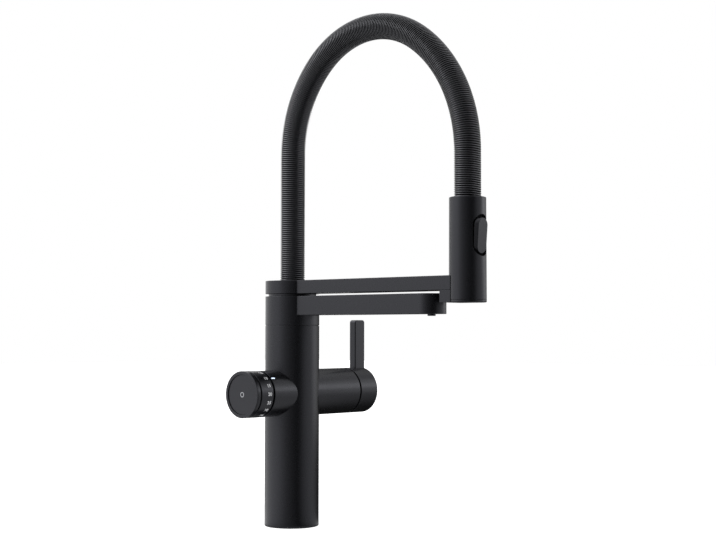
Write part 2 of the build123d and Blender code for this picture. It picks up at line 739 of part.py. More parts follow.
# Mixer cartridge and lever
def mixer_cartridge():
    """The ceramic cartridge, with a round cavity for the driver and a wide mouth for the stem."""
    body = rod(CARTRIDGE_RADIUS, CARTRIDGE_BASE + SEAT_GAP, CARTRIDGE_END)
    cavity = DRIVER_RADIUS + FACE_GAP
    body -= rod(cavity, DRIVER_BASE - FACE_GAP, DRIVER_END)
    mouth = Pos(0, 0, DRIVER_END) * Circle(cavity)
    opening = Pos(0, 0, CARTRIDGE_END) * Circle(MOUTH_RADIUS)
    body -= loft([mouth, opening], ruled=True)
    return MIXER_SIDE * body


def cartridge_nut():
    """Ring nut that holds the cartridge, with four spanner slots."""
    bottom = CARTRIDGE_END + SEAT_GAP
    nut = ring(HOUSING_BORE - PRESS_GAP, NUT_BORE, bottom, bottom + NUT_LENGTH)
    for angle in (0, 90):
        slot_floor = bottom + NUT_LENGTH - NUT_SLOT_DEPTH
        slot = block(2 * HOUSING_BORE, NUT_SLOT_WIDTH, slot_floor, bottom + NUT_LENGTH)
        nut -= Rot(0, 0, angle) * slot
    return MIXER_SIDE * nut


def cartridge_driver():
    """The turning fork inside the cartridge, which carries the stem on a pin."""
    fork = rod(DRIVER_RADIUS, DRIVER_BASE, DRIVER_END - FACE_GAP)
    floor = DRIVER_BASE + DRIVER_FLOOR
    fork -= block(STEM_WIDTH + 2 * SLIDE_GAP, 2 * DRIVER_RADIUS, floor, DRIVER_END)
    fork -= Pos(0, 0, MIXER_PIVOT) * Rot(0, 90, 0) * rod(PIN_RADIUS, -DRIVER_RADIUS, DRIVER_RADIUS)
    return MIXER_SIDE * fork


def driver_pin():
    """Pin through the fork and the stem's eye."""
    half = DRIVER_RADIUS - SLIDE_GAP
    return MIXER_SIDE * Pos(0, 0, MIXER_PIVOT) * Rot(0, 90, 0) * rod(PIN_RADIUS - PRESS_GAP, -half, half)


def lever_stem():
    """Square stem from its eye in the fork to the socket in the cap."""
    stem = block(STEM_WIDTH, STEM_HEIGHT, MIXER_PIVOT, STEM_END)
    eye = Pos(0, 0, MIXER_PIVOT) * Rot(0, 90, 0) * rod(STEM_EYE_RADIUS, -STEM_WIDTH / 2, STEM_WIDTH / 2)
    hole = Pos(0, 0, MIXER_PIVOT) * Rot(0, 90, 0) * rod(PIN_RADIUS + RUNNING_GAP, -STEM_WIDTH, STEM_WIDTH)
    return MIXER_SIDE * (stem + eye - hole)


def lever_cap():
    """The round cap that tilts over the housing, with a thin skirt and a socket for the stem."""
    cap = rod(HOUSING_RADIUS, CAP_START, CAP_END)
    rim = cap.edges().filter_by(GeomType.CIRCLE).group_by(Axis.Z)[-1]
    cap = fillet(rim, CAP_ROUND)
    cap -= rod(HOUSING_RADIUS - CAP_SKIRT_WALL, CAP_START, CAP_START + CAP_SKIRT_DEPTH)
    cap -= block(STEM_WIDTH + 2 * SEAT_GAP, STEM_HEIGHT + 2 * SEAT_GAP, CAP_START, STEM_END + SEAT_GAP)
    cap -= grub_place() * rod(GRUB_RADIUS + FACE_GAP, 0, HOUSING_RADIUS)
    return MIXER_SIDE * cap - blade_block(FACE_GAP, AXIS_HEIGHT + BLADE_FOOT, BLADE_TOP)


def blade_block(gap, bottom, top):
    """The space of the lever blade, flush with the cap's end, grown by a gap on three sides."""
    back = CAP_END - BLADE_DEPTH - gap
    outline = Pos(0, (back + CAP_END + gap) / 2) * Rectangle(BLADE_WIDTH + 2 * gap, CAP_END + gap - back)
    return Pos(0, 0, bottom) * extrude(outline, top - bottom)


def lever_blade():
    """The upright handle with rounded upper corners."""
    blade = blade_block(0, AXIS_HEIGHT + BLADE_FOOT + SEAT_GAP, BLADE_TOP)
    top = blade.faces().sort_by(Axis.Z)[-1]
    blade = fillet(top.edges().filter_by(Axis.X), BLADE_ROUND)
    return fillet(blade.edges().filter_by(Axis.Z), BLADE_EDGE)


def grub_place():
    """Axis of the grub screw, on the side away from the blade."""
    return Pos(0, 0, GRUB_POSITION) * Rot(-90, 0, 0) * Pos(0, 0, STEM_HEIGHT / 2)


def grub_screw():
    """Grub screw that clamps the cap to the stem."""
    screw = rod(GRUB_RADIUS, SEAT_GAP, GRUB_LENGTH)
    socket = Pos(0, 0, GRUB_LENGTH / 2) * extrude(RegularPolygon(GRUB_RADIUS / 2, 6), GRUB_LENGTH)
    return MIXER_SIDE * grub_place() * (screw - socket)


# Dial
def light_slot(gap):
    """The long round-ended slot for the indicator light, in the top of the dial stub."""
    centre = STUB_END - LIGHT_INSET - LIGHT_LENGTH / 2
    outline = SlotOverall(LIGHT_LENGTH - 2 * gap, LIGHT_WIDTH - 2 * gap)
    depth = LIGHT_DEPTH
    slot = extrude(outline, depth)
    return (
        DIAL_SIDE * Rot(0, 0, LIGHT_ANGLE) * Pos(DIAL_RADIUS - depth, 0, centre) * Rot(0, 90, 0) * slot
    )


def light_window():
    """Clear window of the indicator light."""
    return light_slot(SEAT_GAP) & (DIAL_SIDE * rod(DIAL_RADIUS, 0, STUB_END))


def filter_valve():
    """The filtered-water valve, screwed into the water block behind the dial."""
    body = rod(VALVE_BODY_RADIUS, VALVE_SEAT + SEAT_GAP, VALVE_BODY_END)
    return DIAL_SIDE * body


def dial_sensor():
    """Round circuit board that reads the dial and lights the indicator."""
    board = rod(SENSOR_RADIUS, VALVE_BODY_END + SEAT_GAP, VALVE_BODY_END + SEAT_GAP + SENSOR_THICKNESS)
    return DIAL_SIDE * board


def dial_bearing():
    """Flanged bush in the stub, whose flange shows as the dark gap beside the number band."""
    bush = rod(STUB_BORE - PRESS_GAP, BEARING_START, STUB_END + SEAT_GAP)
    bush += rod(BEARING_FLANGE_RADIUS, STUB_END + SEAT_GAP, BAND_START - SLIDE_GAP)
    bush -= rod(SHAFT_RADIUS + RUNNING_GAP, BEARING_START, BAND_START)
    return DIAL_SIDE * bush


def dial_shaft():
    """Hollow shaft that carries the dial in the bearing."""
    end = BAND_END + GROOVE_WIDTH
    shaft = ring(SHAFT_RADIUS, SHAFT_BORE, SHAFT_START, end)
    shaft -= ring(SHAFT_RADIUS, SHAFT_RADIUS - CLIP_THICKNESS, clip_bottom(), clip_bottom() + CLIP_THICKNESS)
    return DIAL_SIDE * shaft


def clip_bottom():
    """Inner face of the retaining clip, behind the bearing."""
    return BEARING_START - SLIDE_GAP - CLIP_THICKNESS


def shaft_clip():
    """Open retaining clip in the shaft's groove."""
    bottom = clip_bottom() + SEAT_GAP
    top = clip_bottom() + CLIP_THICKNESS - SEAT_GAP
    clip = ring(CLIP_RADIUS, SHAFT_RADIUS - CLIP_THICKNESS + SEAT_GAP, bottom, top)
    mouth = Pos(0, CLIP_RADIUS / 2 + SHAFT_RADIUS / 2) * block(SHAFT_RADIUS, CLIP_RADIUS, bottom, top)
    return DIAL_SIDE * (clip - mouth)


def number_ring():
    """The turning band that carries the numbers, on a web round the shaft."""
    band = ring(DIAL_RADIUS, DIAL_RADIUS - BAND_WALL, BAND_START, BAND_END)
    web_start = BAND_END - BAND_WEB
    band += ring(DIAL_RADIUS, SHAFT_RADIUS + PRESS_GAP, web_start, BAND_END)
    band += ring(DIAL_RADIUS - GROOVE_DEPTH, SHAFT_RADIUS + PRESS_GAP, BAND_END, BAND_END + GROOVE_WIDTH)
    return DIAL_SIDE * band


def dial_rim():
    """The front rim of the dial, round the push button."""
    start = BAND_END + GROOVE_WIDTH + SEAT_GAP
    rim = rod(DIAL_RADIUS, start, DIAL_FACE)
    edge = rim.edges().filter_by(GeomType.CIRCLE).group_by(Axis.Z)[-1]
    rim = fillet(edge, RIM_ROUND)
    rim -= rod(DIAL_RADIUS - RIM_WIDTH, start, DIAL_FACE)
    return DIAL_SIDE * rim


def push_button():
    """The disc in the dial's face, with a guide peg in the hollow shaft."""
    top = DIAL_FACE - BUTTON_RECESS
    disc = rod(DIAL_RADIUS - RIM_WIDTH - SLIDE_GAP, top - BUTTON_THICKNESS, top)
    peg = rod(BUTTON_GUIDE_RADIUS, BAND_START, top)
    return DIAL_SIDE * (disc + peg)


def button_dome():
    """Rubber dome that lifts the button back."""
    base = BAND_END + GROOVE_WIDTH + SEAT_GAP
    top = DIAL_FACE - BUTTON_RECESS - BUTTON_THICKNESS - SEAT_GAP
    inner = BUTTON_GUIDE_RADIUS + SLIDE_GAP
    wide = Pos(0, 0, base) * Circle(DOME_RADIUS + DOME_WALL)
    narrow = Pos(0, 0, top) * Circle(inner + DOME_WALL)
    outer = loft([wide, narrow], ruled=True)
    wide = Pos(0, 0, base) * Circle(DOME_RADIUS)
    narrow = Pos(0, 0, top) * Circle(inner)
    hollow = loft([wide, narrow], ruled=True)
    return DIAL_SIDE * (outer - hollow)


def main():
    """Builds every piece and writes it under its node's name."""
    os.makedirs("parts", exist_ok=True)
    makers = (
        column_body, mixer_housing, dial_stub, base_plate, base_seal, water_block, riser_tube,
        swivel_post, post_seals, swivel_washer, neck_ring, spout_body, spout_bush, spout_tube,
        spout_jet, spout_aerator, docking_arm, dock_magnet, arm_bush, hose_nipple, hose_ferrule,
        spring_sleeve, inner_hose, head_shell, head_collar, swivel_nut, diverter_body,
        diverter_valve, water_core, spray_face, spray_nozzles, spray_aerator, head_keeper,
        rocker_button, rocker_pin, mixer_cartridge, cartridge_nut, cartridge_driver, driver_pin,
        lever_stem, lever_cap, lever_blade, grub_screw, light_window, filter_valve, dial_sensor,
        dial_bearing, dial_shaft, shaft_clip, number_ring, dial_rim, push_button, button_dome,
    )
    for maker in makers:
        save(maker.__name__, maker())


main()
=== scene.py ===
"""Looks of a water filter kitchen tap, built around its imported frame.

Metres, +Z up, spouts along +X, dial on the -Y side and lever on the +Y side.
"""

import json
import logging
import math
from dataclasses import dataclass, field
from enum import Enum
from typing import Callable, Iterable, Sequence

import bmesh
import bpy
from mathutils import Matrix, Vector

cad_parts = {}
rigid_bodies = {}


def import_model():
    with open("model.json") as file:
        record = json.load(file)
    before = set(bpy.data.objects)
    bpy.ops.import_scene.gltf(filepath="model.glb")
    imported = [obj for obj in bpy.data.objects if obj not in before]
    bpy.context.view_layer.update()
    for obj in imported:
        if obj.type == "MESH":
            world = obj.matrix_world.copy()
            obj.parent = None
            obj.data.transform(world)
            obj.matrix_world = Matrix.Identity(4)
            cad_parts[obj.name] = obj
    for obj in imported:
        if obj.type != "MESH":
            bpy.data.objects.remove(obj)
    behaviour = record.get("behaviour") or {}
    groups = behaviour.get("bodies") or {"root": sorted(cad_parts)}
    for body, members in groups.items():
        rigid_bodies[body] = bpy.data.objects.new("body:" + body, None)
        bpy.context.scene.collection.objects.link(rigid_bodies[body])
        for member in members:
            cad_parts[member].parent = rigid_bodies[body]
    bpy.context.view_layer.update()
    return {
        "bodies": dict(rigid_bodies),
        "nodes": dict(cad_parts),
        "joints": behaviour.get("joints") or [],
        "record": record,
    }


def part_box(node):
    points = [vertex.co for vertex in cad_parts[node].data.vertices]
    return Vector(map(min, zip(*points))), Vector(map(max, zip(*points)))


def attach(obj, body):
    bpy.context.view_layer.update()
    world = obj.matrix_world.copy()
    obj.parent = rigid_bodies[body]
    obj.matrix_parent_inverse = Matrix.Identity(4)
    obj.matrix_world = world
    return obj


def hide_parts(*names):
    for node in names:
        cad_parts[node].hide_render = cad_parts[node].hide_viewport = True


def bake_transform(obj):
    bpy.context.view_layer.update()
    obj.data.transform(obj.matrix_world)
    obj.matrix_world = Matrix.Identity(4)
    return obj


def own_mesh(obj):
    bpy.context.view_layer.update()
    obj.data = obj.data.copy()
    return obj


LOG = logging.getLogger("tap")
MM = 0.001
TURN = 2 * math.pi
# Points closer than this are one.
WELD = 1e-8
# Factor that takes a cutting tool clear of a surface.
CLEAR = 1.2

Point = tuple[float, float]
Colour = tuple[float, float, float]
MADE: dict[str, bpy.types.Material] = {}


class Operation(Enum):
    """How a tool shape changes a base shape."""

    CUT = "DIFFERENCE"
    JOIN = "UNION"


class Fineness(Enum):
    """Number of straight steps that a full round is made of."""

    SMALL = 48
    MEDIUM = 96
    LARGE = 160


class Slot(Enum):
    """The record's material slots."""

    METAL = "satin_black_metal"
    PLASTIC = "satin_black_plastic"
    RUBBER = "black_rubber"
    SLEEVE = "black_spring_sleeve"
    HOSE = "water_hose"
    BRASS = "bare_brass"
    BEARING = "bearing_plastic"
    STEEL = "stainless_steel"
    CARTRIDGE = "cartridge_plastic"
    GREY = "grey_plastic"
    MAGNET = "nickel_magnet"
    BOARD = "circuit_board"
    WINDOW = "light_window"


def add_object(name: str, data: bpy.types.ID) -> bpy.types.Object:
    """Puts a new object into the scene, at the origin.

    Args:
        name: Name of the object.
        data: Its mesh, curve, camera or lamp.

    Returns:
        The object.
    """
    made = bpy.data.objects.new(name, data)
    bpy.context.scene.collection.objects.link(made)
    return made


def evaluated_mesh(piece: bpy.types.Object) -> bpy.types.Mesh:
    """Returns the mesh that an object and its modifiers give."""
    view = bpy.context.evaluated_depsgraph_get()
    return bpy.data.meshes.new_from_object(piece.evaluated_get(view), depsgraph=view)


class Graph:
    """A node tree that is filled one node at a time."""

    def __init__(self, tree: bpy.types.NodeTree) -> None:
        """Starts on an existing shader or geometry tree."""
        self.tree = tree

    def node(
        self, kind: str, inputs: dict[str | int, object] | None = None, **settings: object
    ) -> bpy.types.Node:
        """Adds a node, sets it up and feeds its sockets.

        Args:
            kind: The node's type name.
            inputs: Values, signals or sockets by the input's name or number.
            settings: Values of the node's own properties.

        Returns:
            The new node.
        """
        made = self.tree.nodes.new(kind)
        for name, value in settings.items():
            setattr(made, name, value)
        for key, value in (inputs or {}).items():
            self.feed(made.inputs[key], value)
        return made

    def feed(self, socket: bpy.types.NodeSocket, value: object) -> None:
        """Links a signal or a socket to an input, or sets the input's value.

        Args:
            socket: The input.
            value: A Signal, an output socket, or a plain value.
        """
        if isinstance(value, Signal):
            value = value.socket
        if isinstance(value, bpy.types.NodeSocket):
            self.tree.links.new(value, socket)
        else:
            socket.default_value = value

    def signal(self, made: bpy.types.Node, output: str | int = 0) -> "Signal":
        """Wraps one output of a node for arithmetic."""
        return Signal(self, made.outputs[output])

    def vector(self, operation: str, inputs: dict[str | int, object]) -> bpy.types.NodeSocket:
        """Adds a Vector Math node and returns its result."""
        return self.node("ShaderNodeVectorMath", inputs, operation=operation).outputs[0]

    def ramp(self, amount: object, stops: Sequence[tuple[float, Colour]]) -> bpy.types.NodeSocket:
        """Adds a colour ramp.

        Args:
            amount: What runs along the ramp.
            stops: Place and colour of each stop, in order.

        Returns:
            The ramp's colour.
        """
        made = self.node("ShaderNodeValToRGB", {0: amount})
        elements = made.color_ramp.elements
        while len(elements) < len(stops):
            elements.new(1.0)
        for element, (place, colour) in zip(elements, stops):
            element.position = place
            element.color = (*colour, 1.0)
        return made.outputs["Color"]


class Signal:
    """A number that travels through a tree, whose arithmetic adds Math nodes."""

    def __init__(self, graph: Graph, socket: bpy.types.NodeSocket) -> None:
        """Wraps an output socket of a tree."""
        self.graph = graph
        self.socket = socket

    def math(self, operation: str, *others: object) -> "Signal":
        """Adds one Math node that starts from this signal.

        Args:
            operation: The Math node's operation.
            others: Its second and third values.

        Returns:
            The node's result.
        """
        values = dict(enumerate((self, *others)))
        return self.graph.signal(self.graph.node("ShaderNodeMath", values, operation=operation))

    def __add__(self, other: object) -> "Signal":
        """This signal plus another."""
        return self.math("ADD", other)

    def __sub__(self, other: object) -> "Signal":
        """This signal less another."""
        return self.math("SUBTRACT", other)

    def __mul__(self, other: object) -> "Signal":
        """This signal times another."""
        return self.math("MULTIPLY", other)

    def between(self, low: float, high: float) -> "Signal":
        """Spreads this signal, which runs from 0 to 1, over another range."""
        return self * (high - low) + low


class Paint:
    """A material under construction: a Principled shader and what varies over the surface."""

    def __init__(self, name: str) -> None:
        """Starts an empty material.

        Args:
            name: The material's name.
        """
        self.material = bpy.data.materials.new(name)
        self.material.use_nodes = True
        self.material.node_tree.nodes.clear()
        self.graph = Graph(self.material.node_tree)
        self.shader = self.graph.node("ShaderNodeBsdfPrincipled")
        self.place = self.graph.node("ShaderNodeTexCoord").outputs["Object"]

    def noise(self, per_metre: float, detail: float = 2.0, stretch: Sequence[float] = (1, 1, 1)) -> Signal:
        """Soft random variation over the object.

        Args:
            per_metre: How many blotches there are to a metre.
            detail: How many finer layers are added.
            stretch: Factors on the three axes.

        Returns:
            The variation, from 0 to 1.
        """
        mapping = self.graph.node("ShaderNodeMapping", {"Vector": self.place, "Scale": tuple(stretch)})
        inputs = {"Vector": mapping.outputs[0], "Scale": per_metre, "Detail": detail}
        return self.graph.signal(self.graph.node("ShaderNodeTexNoise", inputs))

    def bump(self, height: Signal, depth: float) -> None:
        """Turns a signal from 0 to 1 into surface relief of a depth in metres."""
        made = self.graph.node("ShaderNodeBump", {"Height": height, "Distance": depth, "Strength": 1.0})
        self.set({"Normal": made.outputs["Normal"]})

    def set(self, values: dict[str, object]) -> None:
        """Sets or links inputs of the shader by name."""
        for name, value in values.items():
            self.graph.feed(self.shader.inputs[name], value)

    def done(self) -> bpy.types.Material:
        """Connects the shader to the output and gives the material back."""
        self.graph.node("ShaderNodeOutputMaterial", {"Surface": self.shader.outputs[0]})
        return self.material


@dataclass(frozen=True)
class Surface:
    """A surface whose material is made once.

    Attributes:
        name: Name of the material.
        colour: Its main colour.
    """

    name: str
    colour: Colour

    def material(self) -> bpy.types.Material:
        """Makes the surface's material the first time, and finds it again later.

        Returns:
            The material.
        """
        if self.name not in MADE:
            paint = Paint(self.name)
            self.dress(paint)
            MADE[self.name] = paint.done()
        return MADE[self.name]

    def dress(self, paint: Paint) -> None:
        """Sets up the material's nodes."""
        raise NotImplementedError

    def shaded(self, factor: float) -> Colour:
        """Returns the main colour times a factor."""
        return tuple(c * factor for c in self.colour)


@dataclass(frozen=True)
class Finish(Surface):
    """Paint, plastic, rubber or print.

    Attributes:
        roughness: Middle value of the gloss.
        metallic: 0 for paint and plastic, 1 for metal.
        mottle: Share by which the colour varies.
        wander: Amount by which the roughness varies.
        grain: Blotches of the fine relief to a metre.
        relief: Depth of the fine relief in metres.
        specular: Strength of the plain reflection.
        sheen: Tint of the plain reflection.
        coat: Weight of a clear coat of the same gloss.
        clouds: Blotches of the colour's variation to a metre.
        smudges: Blotches of the roughness's variation to a metre.
    """

    roughness: float = 0.4
    metallic: float = 0.0
    mottle: float = 0.12
    wander: float = 0.04
    grain: float = 2600.0
    relief: float = 0.000003
    specular: float = 0.63
    sheen: Colour = (0.88, 0.89, 1.0)
    coat: float = 0.0
    clouds: float = 60.0
    smudges: float = 140.0

    def dress(self, paint: Paint) -> None:
        """Sets up the colour, the gloss and the fine relief.

        Args:
            paint: The material under construction.
        """
        stops = ((0, self.shaded(1 - self.mottle)), (1, self.shaded(1 + self.mottle)))
        colour = paint.graph.ramp(paint.noise(self.clouds, 3.0), stops)
        smudge = paint.noise(self.smudges, 4.0)
        paint.set({
            "Base Color": colour,
            "Roughness": smudge.between(self.roughness - self.wander, self.roughness + self.wander),
            "Metallic": self.metallic,
            "Specular IOR Level": self.specular,
            "Specular Tint": (*self.sheen, 1.0),
            "Coat Weight": self.coat,
            "Coat Roughness": self.roughness,
        })
        paint.bump(self.marks(paint), self.relief)

    def marks(self, paint: Paint) -> Signal:
        """Returns the fine relief of this kind of surface, from 0 to 1."""
        return paint.noise(self.grain)


@dataclass(frozen=True)
class BrushedFinish(Finish):
    """Metal with fine turning marks across its axis.

    Attributes:
        stretch: Factors on the three axes that draw the relief out into marks.
    """

    stretch: tuple[float, float, float] = (1.0, 1.0, 14.0)

    def marks(self, paint: Paint) -> Signal:
        """Returns the turning marks, from 0 to 1."""
        return paint.noise(self.grain, 3.0, self.stretch)


@dataclass(frozen=True)
class Glow(Surface):
    """A milky window lit from behind, in its main colour.

    Attributes:
        strength: Brightness, where 1 is white.
        cover: Colour of the unlit window.
        grain: Blotches of its milky grain to a metre.
        dim: Share of the light where the grain is darkest.
        roughness: Its gloss.
    """

    strength: float
    cover: Colour = (0.6, 0.7, 0.85)
    grain: float = 900.0
    dim: float = 0.8
    roughness: float = 0.25

    def dress(self, paint: Paint) -> None:
        """Sets up the window, whose light varies with its grain.

        Args:
            paint: The material under construction.
        """
        stops = ((0, self.shaded(self.dim)), (1, self.colour))
        light = paint.graph.ramp(paint.noise(self.grain), stops)
        paint.set({"Base Color": (*self.cover, 1.0), "Roughness": self.roughness})
        paint.set({"Emission Color": light, "Emission Strength": self.strength})


@dataclass(frozen=True)
class FloorSurface(Surface):
    """The pale floor, which the camera sees as white.

    Attributes:
        glow: Light that it adds for the camera alone.
        roughness: Its gloss.
    """

    glow: Colour
    roughness: float = 0.9

    def dress(self, paint: Paint) -> None:
        """Sets up the floor.

        Args:
            paint: The material under construction.
        """
        seen = paint.graph.signal(paint.graph.node("ShaderNodeLightPath"), "Is Camera Ray")
        light = paint.graph.ramp(seen, ((0, (0.0, 0.0, 0.0)), (1, self.glow)))
        paint.set({"Base Color": (*self.colour, 1.0), "Roughness": self.roughness})
        paint.set({"Emission Color": light, "Emission Strength": 1.0})


@dataclass(frozen=True)
class ScreenSurface(Surface):
    """A black cloth that glows faintly, by the angle round the tap.

    Attributes:
        shades: Angle in degrees and brightness, in order.
    """

    shades: tuple[Point, ...]

    def dress(self, paint: Paint) -> None:
        """Sets up the cloth.

        Args:
            paint: The material under construction.
        """
        around = paint.graph.node("ShaderNodeTexGradient", {"Vector": paint.place}, gradient_type="RADIAL")
        stops = [(angle / 360.0 + 0.5, (level, level, level)) for angle, level in self.shades]
        light = paint.graph.ramp(around.outputs["Fac"], stops)
        paint.set({"Base Color": (*self.colour, 1.0), "Specular IOR Level": 0.0})
        paint.set({"Emission Color": light, "Emission Strength": 1.0})


SATIN_METAL = Finish("satin_metal", (0.0042, 0.0044, 0.0054), roughness=0.28)
SATIN_PLASTIC = Finish("satin_plastic", (0.0044, 0.0046, 0.0056), roughness=0.29, grain=3600.0)
COIL_BLACK = Finish(
    "coil_black", (0.0075, 0.0078, 0.0088), roughness=0.25, grain=3000.0, specular=1.0, coat=0.9
)
# Near-black dull finish of the hose inside the coil and of the dial's bush: partly their own black, partly
# painted shade that darkens the gaps between the coil's wires and beside the dial's band.
LINING_WITH_PAINTED_SHADE = Finish("lining_black_painted_shade", (0.004, 0.004, 0.004), roughness=0.7, specular=0.2)
SOFT_RUBBER = Finish("soft_rubber", (0.012, 0.012, 0.012), roughness=0.62, relief=0.00002, specular=0.35)
PRINT = Finish("printed_grey", (0.93, 0.94, 0.96), roughness=0.5, mottle=0.05, relief=0.000004)
MARK = Finish("printed_mark", (0.6, 0.61, 0.64), roughness=0.45, mottle=0.05, relief=0.000004)
LIGHT_BAR = Glow("light_bar", (0.68, 0.8, 1.0), 1.6)

SLOT_FINISHES = {
    Slot.METAL: SATIN_METAL,
    Slot.PLASTIC: SATIN_PLASTIC,
    Slot.RUBBER: SOFT_RUBBER,
    Slot.SLEEVE: COIL_BLACK,
    Slot.HOSE: Finish("inner_hose", (0.05, 0.05, 0.055), roughness=0.5),
    Slot.BRASS: BrushedFinish("turned_brass", (0.72, 0.5, 0.22), roughness=0.32, metallic=1.0, mottle=0.05),
    Slot.BEARING: Finish("dark_plastic", (0.02, 0.02, 0.022), roughness=0.46),
    Slot.STEEL: BrushedFinish("turned_steel", (0.55, 0.55, 0.56), roughness=0.3, metallic=1.0, mottle=0.04),
    Slot.CARTRIDGE: Finish("light_plastic", (0.62, 0.63, 0.65), roughness=0.4),
    Slot.GREY: Finish("dull_plastic", (0.03, 0.03, 0.032), roughness=0.42),
    Slot.MAGNET: BrushedFinish("nickel_plate", (0.66, 0.64, 0.6), roughness=0.2, metallic=1.0, mottle=0.03),
    Slot.BOARD: Finish("board_green", (0.02, 0.12, 0.05), roughness=0.3),
    Slot.WINDOW: LIGHT_BAR,
}


@dataclass(frozen=True)
class Corner:
    """A corner of an outline.

    Attributes:
        x: First coordinate. On a turned piece this is the distance from the axis.
        y: Second coordinate. On a turned piece this is the place along the axis.
        round: Radius that rounds the corner.
    """

    x: float
    y: float
    round: float = 0.0


def rounded(corners: Sequence[Corner], closed: bool = True, steps: int = 6) -> list[Point]:
    """Walks round an outline and turns its rounded corners into arcs.

    Args:
        corners: The corners in order.
        closed: Whether the last corner joins the first.
        steps: Straight steps in each arc.

    Returns:
        The outline's points.
    """
    points: list[Point] = []
    count = len(corners)
    for index, corner in enumerate(corners):
        here = Vector((corner.x, corner.y))
        ends = not closed and index in (0, count - 1)
        if corner.round <= 0 or ends:
            points.append((here.x, here.y))
            continue
        before = corners[index - 1]
        after = corners[(index + 1) % count]
        back = (Vector((before.x, before.y)) - here).normalized()
        ahead = (Vector((after.x, after.y)) - here).normalized()
        half = back.angle(ahead) / 2
        centre = here + (back + ahead).normalized() * (corner.round / math.sin(half))
        first = here + back * (corner.round / math.tan(half)) - centre
        last = here + ahead * (corner.round / math.tan(half)) - centre
        sweep = first.angle_signed(last)
        for step in range(steps + 1):
            spot = centre + Matrix.Rotation(-sweep * step / steps, 2) @ first
            points.append((spot.x, spot.y))
    return points


def arc(centre: Point, radius: float, start: float, end: float, steps: int) -> list[Point]:
    """Points on a round stretch, both ends among them.

    Args:
        centre: Its centre.
        radius: Its radius.
        start: First angle in radians.
        end: Last angle in radians.
        steps: Straight steps.

    Returns:
        The points.
    """
    angles = [start + (end - start) * step / steps for step in range(steps + 1)]
    return [(centre[0] + radius * math.cos(a), centre[1] + radius * math.sin(a)) for a in angles]


def straight(start: Point, end: Point, step: float) -> list[Point]:
    """Points along a straight run, both ends among them.

    Args:
        start: First end.
        end: Other end.
        step: Rough distance between them.

    Returns:
        The points.
    """
    count = max(2, round(math.dist(start, end) / step))
    shares = [k / count for k in range(count + 1)]
    return [(start[0] + (end[0] - start[0]) * s, start[1] + (end[1] - start[1]) * s) for s in shares]


def rectangle(low: Point, high: Point) -> list[Point]:
    """Plan of a rectangle between two opposite corners."""
    return [low, (high[0], low[1]), high, (low[0], high[1])]


def bar_plan(end: float, half_width: float, steps: int = 48) -> list[Point]:
    """Plan of a straight bar from the origin with a half-round end.

    Args:
        end: Place of the round end's centre along X.
        half_width: Half of the width.
        steps: Straight steps in the round end.

    Returns:
        The plan's points.
    """
    tip = arc((end, 0.0), half_width, -TURN / 4, TURN / 4, steps)
    return [(0.0, -half_width), *tip, (0.0, half_width)]


def pill_plan(length: float, width: float, steps: int = 24) -> list[Point]:
    """Plan of a long shape with two half-round ends, along the first axis.

    Args:
        length: Overall length.
        width: Width.
        steps: Straight steps in each end.

    Returns:
        The plan's points.
    """
    half = (length - width) / 2
    right = arc((half, 0.0), width / 2, -TURN / 4, TURN / 4, steps)
    left = arc((-half, 0.0), width / 2, TURN / 4, 3 * TURN / 4, steps)
    return [*right, *left]


def level(plan: Sequence[Point], height: float) -> list[Vector]:
    """Puts a plan at a height."""
    return [Vector((x, y, height)) for x, y in plan]


def upright(x: float = 0.0) -> Matrix:
    """Place of a piece that stands along Z at a distance along X."""
    return Matrix.Translation((x, 0.0, 0.0))


def sideways(height: float, towards_lever: bool) -> Matrix:
    """Place of a piece that lies along Y.

    Args:
        height: Height of its axis.
        towards_lever: True for the +Y side and False for the -Y side.

    Returns:
        The matrix that takes +Z outwards.
    """
    turn = Matrix.Rotation(math.radians(-90 if towards_lever else 90), 4, "X")
    return Matrix.Translation((0.0, 0.0, height)) @ turn


